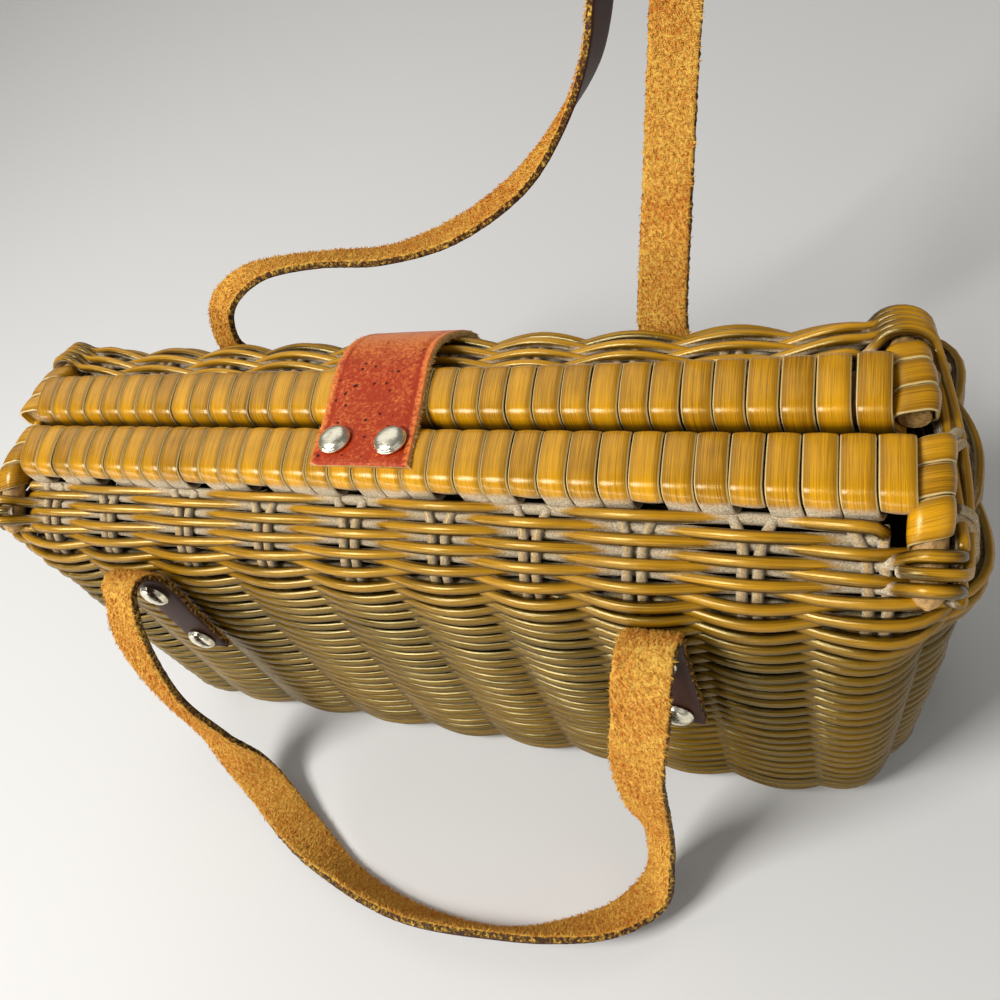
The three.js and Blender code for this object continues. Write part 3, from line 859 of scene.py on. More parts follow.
def strand_material(colours, fibre, dust):
    """Varnished willow: amber and glossy where it stands proud, bare with dust where it dives in, and painted
    shade on its sides, lower on the wall and deep in the weave.
    """
    material, tree, shader = start_material(
        "wicker_strand", Coat_Roughness=0.1, Specular_IOR_Level=0.9, Specular_Tint=VARNISH_SHINE
    )
    lines = group(tree, fibre, {
        "Along": attribute(tree, "along"),
        "Across": attribute(tree, "around"),
        "Piece": attribute(tree, "strand"),
        "Along scale": 40.0,
        "Across scale": 30.0,
    })
    deep = attribute(tree, "deep")
    missed = minus(tree, 1.0, attribute(tree, "varnish"))
    bare = group(tree, dust, {
        "Place": object_place(tree),
        "Mask": times(tree, missed, minus(tree, 1.0, times(tree, deep, 0.8))),
        "Light": linear(colours.dust_light),
        "Dark": linear(colours.dust_dark),
    })
    tone = plus(tree, lines["Lines"], times(tree, lines["Patches"], 0.3))
    own = centred(tree, attribute(tree, "strand"), 0.3)
    # Painted shade on the strands' sides, stronger lower on the wall
    shade = times(tree, attribute(tree, "flank"), ramped(tree, deep, 0.0, 1.0, 0.75, 1.3))
    tone = minus(tree, plus(tree, tone, own), shade)
    # Lower on the wall the amber goes over to darker colours, as painted shade
    amber = mixed(
        tree,
        ramped(tree, tone, -0.2, 0.85),
        mixed(tree, deep, linear(colours.varnish_dark_and_shade), linear(colours.shaded_wall_dark)),
        mixed(tree, deep, linear(colours.varnish_light), linear(colours.shaded_wall_light)),
    )
    skin = mixed(tree, bare["Share"], amber, bare["Colour"])
    feed(
        tree,
        shader,
        # Painted shade deep in the weave, in its own dark colour
        Base_Color=mixed(tree, attribute(tree, "grime"), skin, linear(colours.grime)),
        Roughness=ramped(tree, bare["Share"], 0.0, 1.0, 0.22, 0.8),
        Coat_Weight=ramped(tree, bare["Share"], 0.0, 0.8, 0.12, 0.0),
    )
    height = plus(tree, times(tree, lines["Lines"], 0.3), times(tree, bare["Grit"], 0.06))
    bumped(tree, shader, height, 0.2 * MM)
    return material


def cane_material(colours, fibre, dust):
    """Flat cane: golden, with fine lines along the band, darker towards its edges, a pale edge that is partly
    dust and partly a painted highlight, dust on the rim's lower outer face and painted shade on its inner
    face.
    """
    material, tree, shader = start_material(
        "cane_wrap", Coat_Roughness=0.2, Specular_IOR_Level=0.6, Specular_Tint=VARNISH_SHINE
    )
    spread = add_node(tree, "ShaderNodeUVMap", uv_map="UVMap")
    measures = add_node(tree, "ShaderNodeSeparateXYZ", {0: spread.outputs[0]})
    turn = attribute(tree, "turn")
    lines = group(tree, fibre, {
        "Along": measures.outputs[0],
        "Across": measures.outputs[1],
        "Piece": turn,
        "Along scale": 60.0,
        "Across scale": 3600.0,
    })
    bare = group(tree, dust, {
        "Place": object_place(tree),
        "Mask": attribute(tree, "dust"),
        "Light": linear(colours.dust_light),
        "Dark": linear(colours.dust_dark),
    })
    tone = plus(tree, lines["Lines"], times(tree, lines["Patches"], 0.25))
    own = centred(tree, turn, 0.18)
    gold = mixed(
        tree,
        ramped(tree, plus(tree, tone, own), 0.2, 0.95),
        linear(colours.cane_dark),
        linear(colours.cane_light),
    )
    from_middle = maths(tree, "ABSOLUTE", measures.outputs[1], 0.0)
    # Darker towards the edges of each turn
    edge_darkening = ramped(tree, from_middle, CANE_MARKS["darkening"], CANE_MARKS["edge"], 0.0, 0.5)
    gold = mixed(tree, edge_darkening, gold, linear(colours.cane_dark))
    # Pale edge of each turn: partly dust in the seam, partly a painted highlight
    edge = ramped(tree, from_middle, CANE_MARKS["edge"], CANE_MARKS["bare"], 0.0, 0.9)
    gold = mixed(tree, edge, gold, linear(colours.seam))
    skin = mixed(tree, bare["Share"], gold, bare["Colour"])
    feed(
        tree,
        shader,
        # Painted shade on the turns' inner face, in the groove between the rims
        Base_Color=mixed(tree, attribute(tree, "grime"), skin, linear(colours.grime)),
        Roughness=ramped(tree, bare["Share"], 0.0, 1.0, 0.26, 0.75),
        Coat_Weight=ramped(tree, bare["Share"], 0.0, 0.8, 0.4, 0.0),
    )
    bumped(tree, shader, lines["Lines"], 0.1 * MM)
    return material


def core_material(colours):
    """Bare rod: pale wood with grain along it."""
    material, tree, shader = start_material("core_rod", Roughness=0.6)
    grain = noise(tree, stretched(tree, (900.0, 120.0, 900.0)), 1.0, 4.0)
    dark = dimmed(linear(colours.core), 0.45)
    feed(tree, shader, Base_Color=mixed(tree, ramped(tree, grain, 0.3, 0.65), dark, linear(colours.core)))
    bumped(tree, shader, grain, 0.2 * MM)
    return material


def flap_material(colours):
    """Smooth red-brown leather with a fine grain, dark pits, rubbed edges, a top bend lighter partly from
    rubbing and partly from a painted sheen, and raw cut sides.
    """
    material, tree, shader = start_material("flap_hide", Coat_Roughness=0.3, Specular_IOR_Level=0.2)
    place = object_place(tree)
    cloud = noise(tree, place, 110.0, 4.0)
    mottle = noise(tree, place, 900.0, 3.0, 0.7)
    # The rubbed attribute also carries the painted sheen at the top bend
    rub_and_sheen = plus(tree, attribute(tree, "rubbed"), centred(tree, cloud, 0.9))
    tone = plus(tree, rub_and_sheen, centred(tree, mottle, 2.4))
    hide = mixed(tree, ramped(tree, tone, -0.15, 1.0), linear(colours.flap_dark), linear(colours.flap_light))
    pit = add_node(tree, "ShaderNodeTexVoronoi", {"Vector": place, "Scale": 480.0, "Randomness": 1.0})
    pick = add_node(tree, "ShaderNodeSeparateColor", {0: pit.outputs["Color"]})
    rare = plus(tree, 0.7, times(tree, rub_and_sheen, 0.35))
    chosen = maths(tree, "GREATER_THAN", pick.outputs[0], rare)
    deep = times(tree, ramped(tree, pit.outputs["Distance"], 0.3, 0.12), chosen)
    pitted = mixed(tree, deep, hide, (0.02, 0.006, 0.004, 1.0))
    fibre = noise(tree, place, 1700.0, 3.0, 0.7)
    raw_dark = dimmed(linear(colours.raw), 0.6)
    raw = mixed(tree, ramped(tree, fibre, 0.35, 0.6), raw_dark, linear(colours.raw))
    cut = ramped(tree, attribute(tree, "raw"), 0.35, 0.65)
    feed(
        tree,
        shader,
        Base_Color=mixed(tree, cut, pitted, raw),
        Roughness=ramped(tree, cut, 0.0, 1.0, 0.42, 0.9),
        Coat_Weight=ramped(tree, cut, 0.0, 1.0, 0.06, 0.0),
    )
    wrinkle = add_node(tree, "ShaderNodeTexVoronoi", {"Vector": place, "Scale": 1100.0}, feature="SMOOTH_F1")
    relief = minus(tree, times(tree, wrinkle.outputs["Distance"], 0.5), deep)
    bumped(tree, shader, plus(tree, relief, times(tree, fibre, 0.4)), 0.3 * MM)
    return material


def suede_material(colours):
    """Handle leather: a coarse fuzzy flesh side, a smooth dark grain side and dark cut edges."""
    material, tree, shader = start_material("strap_hide", Specular_IOR_Level=0.25)
    place = object_place(tree)
    tuft = noise(tree, place, 850.0, 4.0, 0.72)
    fine = noise(tree, place, 2300.0, 2.0, 0.6)
    cloud = noise(tree, place, 60.0)
    tone = plus(tree, tuft, centred(tree, fine, 0.5))
    tone = plus(tree, tone, centred(tree, cloud, 0.35))
    light, dark = linear(colours.flesh_light), linear(colours.flesh_dark)
    flesh = mixed(tree, ramped(tree, tone, 0.3, 0.68), dark, light)
    pale = dimmed(linear(colours.grain), 1.8)
    worn = ramped(tree, noise(tree, place, 240.0, 5.0, 0.7), 0.5, 0.8)
    smooth = mixed(tree, worn, linear(colours.grain), pale)
    face = attribute(tree, "flesh")
    fray = plus(tree, face, centred(tree, tuft, 1.3))
    share = ramped(tree, fray, 0.35, 0.6)
    feed(
        tree,
        shader,
        Base_Color=mixed(tree, share, smooth, flesh),
        Roughness=ramped(tree, share, 0.0, 1.0, 0.5, 0.95),
    )
    relief = times(tree, plus(tree, tuft, times(tree, fine, 0.5)), share)
    bumped(tree, shader, relief, 0.9 * MM)
    return material


def metal_material(colours):
    """Pale plated metal with light scratches and dull patches."""
    material, tree, shader = start_material("plated_metal", Metallic=1.0)
    place = object_place(tree)
    patch = noise(tree, place, 420.0, 4.0)
    lines = noise(tree, stretched(tree, (300.0, 2600.0, 700.0)), 1.0, 2.0)
    dull = dimmed(linear(colours.metal), 0.7)
    feed(
        tree,
        shader,
        Base_Color=mixed(tree, ramped(tree, patch, 0.45, 0.7), linear(colours.metal), dull),
        Roughness=ramped(tree, times(tree, patch, lines), 0.15, 0.4, 0.22, 0.36),
    )
    bumped(tree, shader, lines, 0.05 * MM)
    return material


def floor_material(colours):
    """Pale matt floor."""
    material, tree, shader = start_material("floor", Roughness=0.8)
    tint = noise(tree, object_place(tree), 6.0)
    pale = linear(colours.floor)
    shade = dimmed(pale, 0.97)
    feed(tree, shader, Base_Color=mixed(tree, tint, shade, pale))
    return material


# The wall that the strands follow


def eased_profile(side):
    """Wall sections at even steps up the front or the back of the basket, with the corners eased."""
    depth = WALL[:, 2] + side * WALL[:, 5]
    steps = np.hypot(np.diff(depth), np.diff(WALL[:, 0]))
    up = np.concatenate([[0.0], np.cumsum(steps)])
    even = np.linspace(0.0, up[-1], PROFILE_SAMPLES)
    columns = np.array([np.interp(even, up, column) for column in WALL.T])
    reach = int(PROFILE_EASE / up[-1] * PROFILE_SAMPLES) // 2
    window = np.ones(2 * reach + 1) / (2 * reach + 1)
    padded = np.pad(columns, ((0, 0), (reach, reach)), mode="reflect", reflect_type="odd")
    return np.array([np.convolve(column, window, mode="valid") for column in padded]), up[-1]


PROFILE = {side: eased_profile(side) for side in (FRONT, BACK)}
FRONT_HEIGHT = PROFILE[FRONT][1]


def profile_at(side, rise):
    """Section columns of the front or back at a share of the way up, one column for each share."""
    columns = PROFILE[side][0]
    grid = np.linspace(0.0, 1.0, PROFILE_SAMPLES)
    return np.array([np.interp(rise, grid, column) for column in columns])


LENGTH, DEPTH, CORNER = WALL[STAKE_SECTION, 1:4]
# Stakes stand upright on this much of the front and back, to either side of the middle
STRAIGHT = LENGTH - CORNER
QUARTER = STRAIGHT + math.pi / 2 * CORNER + DEPTH - CORNER
PERIMETER = 4 * QUARTER
STAKE_KNOTS = np.concatenate([np.arange(len(FRONT_STAKES)), [BACK_FIRST, BACK_LAST, STAKES]])
STAKE_PLACES = np.concatenate([
    FRONT_STAKES,
    [2 * QUARTER - BACK_STAKES_REACH, 2 * QUARTER + BACK_STAKES_REACH, PERIMETER + FRONT_STAKES[0]],
])


def share_of(value, start, over):
    """How far a value has come from a start over a distance, held between 0 and 1."""
    return np.clip((value - start) / over, 0, 1)


def splay(y):
    """Extra shift of what stands behind the back rim."""
    return BACK_SPLAY["shift"] * share_of(y, RIM_MIDDLE, BACK_SPLAY["over"])


def racked(x, y, z):
    """Place of a point after the back half's shift to the left, which grows with height."""
    share = share_of(y, -RIM_MIDDLE, 2 * RIM_MIDDLE) * share_of(z, 0, TOP)
    return x + share * (BACK_SHIFT + BACK_EXTRA * x / RIM["half_length"] + splay(y))


def wall_point(stake, rise):
    """Middle of the wall at a place around it, counted in stakes, and a share of the way up."""
    distance = np.interp(np.mod(stake, STAKES), STAKE_KNOTS, STAKE_PLACES) % PERIMETER
    quarter = np.minimum(distance // QUARTER, 3)
    from_middle = np.where(quarter % 2 == 0, distance - quarter * QUARTER, (quarter + 1) * QUARTER - distance)
    at_back = (quarter == 1) | (quarter == 2)
    past = share_of(from_middle, STRAIGHT, QUARTER - STRAIGHT)
    towards_back = np.where(at_back, 1 - past / 2, past / 2)
    z, half_length, half_depth, corner, middle_x, middle_y = (
        (1 - towards_back) * profile_at(FRONT, rise) + towards_back * profile_at(BACK, rise)
    )
    front = half_length - corner
    arc = math.pi / 2 * corner
    whole = front + arc + half_depth - corner
    walk = np.where(from_middle < STRAIGHT, from_middle, STRAIGHT + past * (whole - STRAIGHT))
    angle = np.clip((walk - front) / corner, 0, math.pi / 2)
    x = np.minimum(walk, front) + corner * np.sin(angle)
    y = half_depth - corner + corner * np.cos(angle) - np.maximum(walk - front - arc, 0)
    x = np.where(quarter < 2, x, -x)
    y = np.where(at_back, y, -y)
    return np.stack([racked(x, y, z) + middle_x, y + middle_y, z], axis=-1)


def unit(vectors):
    """Vectors brought to length one."""
    return vectors / np.linalg.norm(vectors, axis=-1, keepdims=True)


def wall_outward(stake, rise):
    """Direction out of the wall."""
    step, lift = 0.05, 0.004
    along = wall_point(stake + step, rise) - wall_point(stake - step, rise)
    up = wall_point(stake, np.minimum(rise + lift, 1)) - wall_point(stake, np.maximum(rise - lift, 0))
    return unit(np.cross(along, up))


def row_rises(first=0.4 * MM, last=2.5 * MM):
    """Share of the way up of each row, from the rim down to the floor."""
    down = [first]
    while down[-1] < FRONT_HEIGHT - last:
        down.append(down[-1] + np.interp(down[-1], ROW_PITCH[:, 0], ROW_PITCH[:, 1]))
    return 1 - np.array(down) / FRONT_HEIGHT


class Strands:
    """Gathers strand paths into one mesh of edges with what each point carries."""

    def __init__(self):
        self.points, self.edges, self.out, self.outward = [], [], [], []
        self.thick, self.along, self.strand, self.deep = [], [], [], []

    def add(self, path, out, outward, radius, closed=False, own=0.5, deep=0.0):
        """One strand: path, how far its points stand out of the wall, radius and depth of colour."""
        start = len(self.points)
        count = len(path)
        steps = np.linalg.norm(np.diff(path, axis=0), axis=1)
        self.points.extend(path)
        self.edges.extend((start + i, start + i + 1) for i in range(count - 1))
        if closed:
            self.edges.append((start + count - 1, start))
        self.out.extend(np.broadcast_to(out, count))
        self.outward.extend(np.broadcast_to(outward, (count, 3)))
        self.thick.extend(np.broadcast_to(radius, count))
        self.along.extend(np.concatenate([[0.0], np.cumsum(steps)]))
        self.strand.extend([own] * count)
        self.deep.extend([deep] * count)

    def grow(self, name, material, sides):
        """Strands as one round, varnished mesh object."""
        attributes = {
            "out": self.out,
            "outward": self.outward,
            "thick": self.thick,
            "along": self.along,
            "strand": self.strand,
            "deep": self.deep,
        }
        source = plain_mesh(name, self.points, edges=self.edges, attributes=attributes)
        values = {
            "Sides": sides,
            "Varnish from": VARNISH[0],
            "Varnish to": VARNISH[1],
            "Varnish depth": VARNISH_DEPTH,
            "Grime from": RECESS_SHADE[0],
            "Grime to": RECESS_SHADE[1],
            "Grime depth": RECESS_SHADE_DEPTH,
            "Material": material,
        }
        return grown(name, source, tool("Wicker strands", strand_tree), values)


def tool(name, build):
    """Node group by name, built on first use."""
    return bpy.data.node_groups.get(name) or build()


def finish(name, build, *parts):
    """Material by name, built on first use."""
    return bpy.data.materials.get(name) or build(*parts)


def woven_finish(context, name, build):
    """Material that shares the fibre lines and the dust."""
    groups = tool("Fibre lines", fibre_group), tool("Dust", dust_group)
    return finish(name, build, context.scene.basket_colours, *groups)


def strand_finish(context):
    """Material of the woven strands."""
    return woven_finish(context, "wicker_strand", strand_material)


def cane_finish(context):
    """Material of the cane turns."""
    return woven_finish(context, "cane_wrap", cane_material)


def weave_sign(stake, row):
    """From 1 in front of a stake to -1 behind it."""
    return np.cos(math.pi * (stake - KEY_STAKE + row))


def wander(rng, stake):
    """Slow stray of a row, between -1 and 1."""
    phase = rng.uniform(0, 2 * math.pi, 2)
    turn = 2 * math.pi * stake / STAKES
    return 0.6 * np.sin(2 * turn + phase[0]) + 0.4 * np.sin(5 * turn + phase[1])


def rim_reach(side):
    """Half length of a rim and the place of its middle."""
    if side == FRONT:
        return RIM["half_length"], 0.0
    return RIM["half_length"] + BACK_EXTRA, BACK_SHIFT


def side_bar_x(side, end, y=0.0):
    """Middle of a side bar along the rims, at a depth."""
    half, shift = rim_reach(side)
    return splay(y) + shift + end * (half - SIDE_BAR["pressed"] + SIDE_BAR_WIDTH[side] / 2)


def side_bar_path(side, steps=40):
    """Middle of a side bar in the upright plane: y and z from its inner end to its foot."""
    knots = np.array([
        (SIDE_BAR_INNER[side], RIM_LEVEL),
        (SIDE_BAR["bend"] - BAR_EASE["before"], RIM_LEVEL),
        (SIDE_BAR["bend"], RIM_LEVEL - BAR_EASE["drop"]),
        SIDE_BAR_FOOT[side],
    ])
    run = np.concatenate([[0.0], np.cumsum(np.linalg.norm(np.diff(knots, axis=0), axis=1))])
    even = np.linspace(0, run[-1], steps)
    y, z = np.interp(even, run, knots[:, 0]), np.interp(even, run, knots[:, 1])
    return np.stack([side * y, z], axis=-1), even


def side_bar_at(side, distance, reach=3 * MM):
    """Place on a side bar and its direction towards the foot, at a distance from its inner end."""
    path, even = side_bar_path(side)
    behind, place, ahead = (
        np.stack([np.interp(distance + step, even, column) for column in path.T], axis=-1)
        for step in (-reach, 0, reach)
    )
    return place, unit(ahead - behind)


def bar_loop(side, end, distance, off, angles):
    """Points around a side bar, off its skin, at degrees from its outer side over its upper face."""
    (y, z), (dy, dz) = side_bar_at(side, distance)
    outward = np.array([0.0, -dz * side, abs(dy)])
    turn = np.radians(np.asarray(angles, dtype=float))
    middle = np.array([side_bar_x(side, end, y), y, z])
    sideways = np.array([float(end), 0.0, 0.0])
    reach = SIDE_BAR_WIDTH[side] / 2 + off
    lift = SIDE_BAR["height"] / 2 + off
    return middle + reach * np.cos(turn)[:, None] * sideways + lift * np.sin(turn)[:, None] * outward


def smoothed(path, reach=1, rounds=2):
    """Path with its kinks eased, and its ends kept."""
    for _ in range(rounds):
        inner = path.copy()
        inner[reach:-reach] = (path[:-2 * reach] + 2 * path[reach:-reach] + path[2 * reach:]) / 4
        path = inner
    return path


def shoulder_row(side, row, rise, weave, rng):
    """Shoulder row between the side bars: path from left to right, its stand out and direction out."""
    if side == FRONT:
        knots, places = np.arange(len(FRONT_STAKES)), FRONT_STAKES
    else:
        knots, places = np.arange(BACK_LAST, BACK_FIRST - 1, -1), BACK_STAKES
    reach = RIM["half_length"] - ROW_SHORT
    x = np.linspace(-reach, reach, weave.steps * len(places))
    edge = [-side_bar_x(FRONT, RIGHT), side_bar_x(FRONT, RIGHT)]
    step = knots[1] - knots[0]
    stake = np.interp(x, [edge[0], *places, edge[1]], [knots[0] - step, *knots, knots[-1] + step])
    stray = rise + weave.wander * wander(rng, stake) / FRONT_HEIGHT
    z, _, half_depth, _, middle_x, middle_y = profile_at(side, np.minimum(stray, 1))
    lift = 0.01
    above = np.minimum(stray + lift, 1)
    ahead = profile_at(side, above) - profile_at(side, above - 2 * lift)
    slope = unit(np.stack([0 * x, side * ahead[2] + ahead[5], ahead[0]], axis=-1))
    outward = unit(np.cross(np.broadcast_to([-float(side), 0.0, 0.0], slope.shape), slope))
    y = side * half_depth
    path = np.stack([racked(x, y, z) + middle_x, y + middle_y, z], axis=-1)
    if side == BACK:
        climb = BACK_LIFT["over"]
        near_bar = share_of(np.abs(x), reach - climb, climb) ** BACK_LIFT["power"]
        path[:, 1] += BACK_LIFT["out"] * near_bar
        path[:, 2] += BACK_LIFT["up"] * near_bar
    out = weave.wave * weave_sign(stake, row)
    return path + out[:, None] * outward, out, outward


class BASKET_OT_wall(bpy.types.Operator):
    """Weave the wall: closed rows around the basket, in antiphase from row to row"""

    bl_idname = "basket.wall"
    bl_label = "Wall weave"

    def execute(self, context):
        weave = context.scene.basket_weave
        rises = row_rises()
        rows = np.arange(SHOULDER_ROWS, len(rises))
        halves = {"wall_weave_upper": rows[: len(rows) // 2], "wall_weave_lower": rows[len(rows) // 2:]}
        rng = np.random.default_rng(SEEDS["wall"])
        for name, group_rows in halves.items():
            strands = Strands()
            for row in group_rows:
                stake = np.arange(STAKES * weave.steps) / weave.steps
                rise = rises[row] + weave.wander * wander(rng, stake) / FRONT_HEIGHT
                deep = share_of((1 - rises[row]) * FRONT_HEIGHT, DEEP["from"], DEEP["over"])
                thick = weave.strand + deep * (weave.wall_strand - weave.strand)
                radius = thick / 2 * rng.uniform(0.93, 1.06)
                outward = wall_outward(stake, rise)
                out = weave.wave * rng.uniform(0.92, 1.05) * weave_sign(stake, row)
                path = wall_point(stake, rise) + out[:, None] * outward
                path[:, 2] = np.maximum(path[:, 2], radius)
                strands.add(path, out, outward, radius, True, rng.uniform(), deep)
            piece = strands.grow(name, strand_finish(context), weave.sides)
            on_frame(piece, "wicker", "basket_body")
        return {"FINISHED"}


class BASKET_OT_shoulder(bpy.types.Operator):
    """Weave the shoulders: to and fro along the front, and along the back and round the ends"""

    bl_idname = "basket.shoulder"
    bl_label = "Shoulder weave"

    def execute(self, context):
        weave = context.scene.basket_weave
        rises = row_rises()[:SHOULDER_ROWS]
        rng = np.random.default_rng(SEEDS["shoulder"])
        strands = Strands()
        self.front(strands, rises, weave, rng)
        self.back(strands, rises, weave, rng)
        piece = strands.grow("shoulder_weave", strand_finish(context), weave.sides)
        on_frame(piece, "wicker", "basket_body")
        return {"FINISHED"}

    @staticmethod
    def front(strands, rises, weave, rng):
        """One strand from row to row, turned back at the top and round the side bars below."""
        hold = weave.strand / 2
        paths, outs, outwards = [], [], []
        for row, rise in enumerate(rises):
            path, out, outward = shoulder_row(FRONT, row, rise, weave, rng)
            end = RIGHT if row % 2 == 0 else LEFT
            turn = slice(None, None, end)
            path, out, outward = path[turn], out[turn], outward[turn]
            paths.append(path)
            outs.append(out)
            outwards.append(outward)
            if row == 0 or row == len(rises) - 1:
                continue
            turn_from = np.sign(weave_sign(FRONT_LAST + 1, row) * end) * FRONT_LOOP["round"]
            angles = np.linspace(turn_from, -turn_from, FRONT_LOOP["points"])
            place = FRONT_LOOP["from"] + (row - 1) // 2 * FRONT_LOOP["step"]
            loop = bar_loop(FRONT, end, place, hold, angles)
            paths.append(loop)
            outs.append(np.full(len(loop), weave.wave))
            outwards.append(np.repeat(outward[-1:], len(loop), axis=0))
        path = smoothed(np.concatenate(paths))
        strands.add(path, np.concatenate(outs), np.concatenate(outwards), hold, False, rng.uniform())

    @staticmethod
    def back(strands, rises, weave, rng):
        """A top row that ends in hooks, and rows that run over the back bars and round to the front bars."""
        hold = weave.strand / 2
        path, out, outward = shoulder_row(BACK, 0, rises[0], weave, rng)
        shown = np.abs(path[:, 0] - BACK_SHIFT) < side_bar_x(BACK, RIGHT) - BACK_SHIFT - HOOK["short"]
        path, out, outward = path[shown], out[shown], outward[shown]
        curl = np.radians(np.linspace(*HOOK["round"], 7))
        hook = HOOK["radius"] * np.stack([np.sin(curl), 0 * curl, np.cos(curl) - 1], axis=-1)
        tips = [(path[0] + hook * (-1, 1, 1))[::-1], path[-1] + hook]
        turned = [np.repeat(outward[at], len(hook), axis=0) for at in (slice(0, 1), slice(-1, None))]
        strands.add(
            smoothed(np.concatenate([tips[0], path, tips[1]])),
            np.pad(out, len(hook), constant_values=weave.wave),
            np.concatenate([turned[0], outward, turned[1]]),
            hold,
        )
        over_bar = np.linspace(150, 0, 12)
        share = np.linspace(0.08, 0.92, 18)
        bulge = np.sin(math.pi * share)
        for row, (back_place, front_place, way) in END_RUNS.items():
            path, out, outward = shoulder_row(BACK, row, rises[row], weave, rng)
            arms, sides = {}, {}
            for end in (LEFT, RIGHT):
                over = bar_loop(BACK, end, back_place, hold, over_bar)
                off = hold + max(way, 0) * END_RUN["over"]
                hook = bar_loop(FRONT, end, front_place, off, np.linspace(0, END_ROUND[way], 14))
                run = over[-1] * (1 - share)[:, None] + hook[0] * share[:, None]
                run[:, 0] += end * (1 + way) * END_RUN["bow"] * bulge
                run[:, 2] -= END_RUN["sag"] * bulge
                arms[end] = np.concatenate([over, run, hook])
                sides[end] = np.broadcast_to((float(end), 0.0, END_RUN["rise"]), arms[end].shape)
            whole = smoothed(np.concatenate([arms[LEFT][::-1], path, arms[RIGHT]]))
            outs = np.pad(out, len(arms[LEFT]), constant_values=weave.wave)
            outwards = unit(np.concatenate([sides[LEFT], outward, sides[RIGHT]]))
            radius = weave.back_strand / 2 * rng.uniform(0.95, 1.05)
            strands.add(whole, outs, outwards, radius, False, rng.uniform())


class BASKET_OT_stakes(bpy.types.Operator):
    """Stand the stake pairs that the rows are woven on, splayed where they go under the rims"""

    bl_idname = "basket.stakes"
    bl_label = "Stakes"

    def execute(self, context):
        weave = context.scene.basket_weave
        strands = Strands()
        rng = np.random.default_rng(SEEDS["stakes"])
        rise = np.linspace(0.02, 1.0, 48)
        near_rim = UNDER_RIM["height"] / FRONT_HEIGHT
        parted = share_of(rise, 1 - near_rim, near_rim) ** UNDER_RIM["power"]
        for stake in range(STAKES):
            gap = np.diff(STAKE_PLACES)[min(stake, FRONT_LAST - 1)]
            under_rim = stake <= FRONT_LAST or BACK_FIRST <= stake <= BACK_LAST
            for hand in (-1, 1):
                spread = weave.stake_spread * rng.uniform(0.9, 1.1)
                spread = spread + under_rim * UNDER_RIM["spread"] * parted
                place = stake + hand * spread / gap
                path = wall_point(place, rise)
                path[:, 2] = np.maximum(path[:, 2], weave.stake / 2)
                outward = wall_outward(place, np.minimum(rise, 0.995))
                path -= outward * (parted * UNDER_RIM["sink"])[:, None]
                strands.add(path, STAKE_OUT, outward, weave.stake / 2, False, rng.uniform())
        piece = strands.grow("stakes", strand_finish(context), weave.sides)
        on_frame(piece, "wicker", "basket_body")
        return {"FINISHED"}


class BASKET_OT_floor(bpy.types.Operator):
    """Weave the floor: rows along the basket over and under cross sticks"""

    bl_idname = "basket.floor"
    bl_label = "Woven floor"

    def execute(self, context):
        weave = context.scene.basket_weave
        strands = Strands()
        rng = np.random.default_rng(SEEDS["floor"])
        _, half_length, half_depth, corner, middle_x, middle_y = WALL[0]
        level, wave, sticks, under = FLOOR["level"], FLOOR["wave"], FLOOR["sticks"], FLOOR["under"]
        down = np.array([0.0, 0.0, -1.0])
        for row in range(FLOOR["rows"]):
            y = (row / (FLOOR["rows"] - 1) * 2 - 1) * (half_depth + under)
            in_corner = max(abs(y) - half_depth - under + corner, 0)
            inset = corner - math.sqrt(max(corner**2 - in_corner**2, 0))
            reach = half_length + under - inset
            x = np.linspace(-reach, reach, sticks * weave.steps)
            sign = np.cos(math.pi * (x / half_length * sticks / 2 + row))
            path = np.stack([x + middle_x, np.full_like(x, y + middle_y), level + wave * sign], axis=-1)
            strands.add(path, -wave * sign, down, FLOOR["radius"], False, rng.uniform())
        for stick in range(sticks):
            x = ((stick + 0.5) / sticks * 2 - 1) * half_length
            y = np.linspace(-half_depth, half_depth, 12)
            path = np.stack([np.full_like(y, x + middle_x), y + middle_y, np.full_like(y, level)], axis=-1)
            strands.add(path, 0.0, down, FLOOR["radius"], False, rng.uniform())
        piece = strands.grow("woven_floor", strand_finish(context), weave.sides)
        on_frame(piece, "wicker", "basket_body")
        return {"FINISHED"}


def bar_section(width, height, corner, steps=6):
    """Rounded section from its bottom middle, outwards, up and round: y, z and the direction out."""
    half_y, half_z = width / 2 - corner, height / 2 - corner
    points, outward = [], []
    for sign_y, sign_z, start in ((-1, -1, 270), (-1, 1, 180), (1, 1, 90), (1, -1, 0)):
        for i in range(steps + 1):
            angle = math.radians(start - 90 * i / steps)
            y, z = math.cos(angle), math.sin(angle)
            points.append((sign_y * half_y + corner * y, sign_z * half_z + corner * z))
            outward.append((y, z))
    return np.array(points), np.array(outward)


def filled_section(points, outward, longest=2.0 * MM):
    """Section with extra points on its long flats."""
    rich_points, rich_outward = [], []
    for i, (point, direction) in enumerate(zip(points, outward)):
        after, turn = points[(i + 1) % len(points)], outward[(i + 1) % len(points)]
        pieces = max(1, int(np.linalg.norm(after - point) / longest))
        for j in range(pieces):
            share = j / pieces
            rich_points.append(point * (1 - share) + after * share)
            rich_outward.append(direction * (1 - share) + turn * share)
    return np.array(rich_points), unit(np.array(rich_outward))


# Section of flat cane: share of its half width, and depth below the crown as a share of its thickness
CANE_SECTION = np.array([
    (-0.9, 1.0), (-1.0, 0.7), (-0.97, 0.38), (-0.85, 0.2), (-0.45, 0.05), (0.0, 0.0),
    (0.45, 0.05), (0.85, 0.2), (0.97, 0.38), (1.0, 0.7), (0.9, 1.0),
])


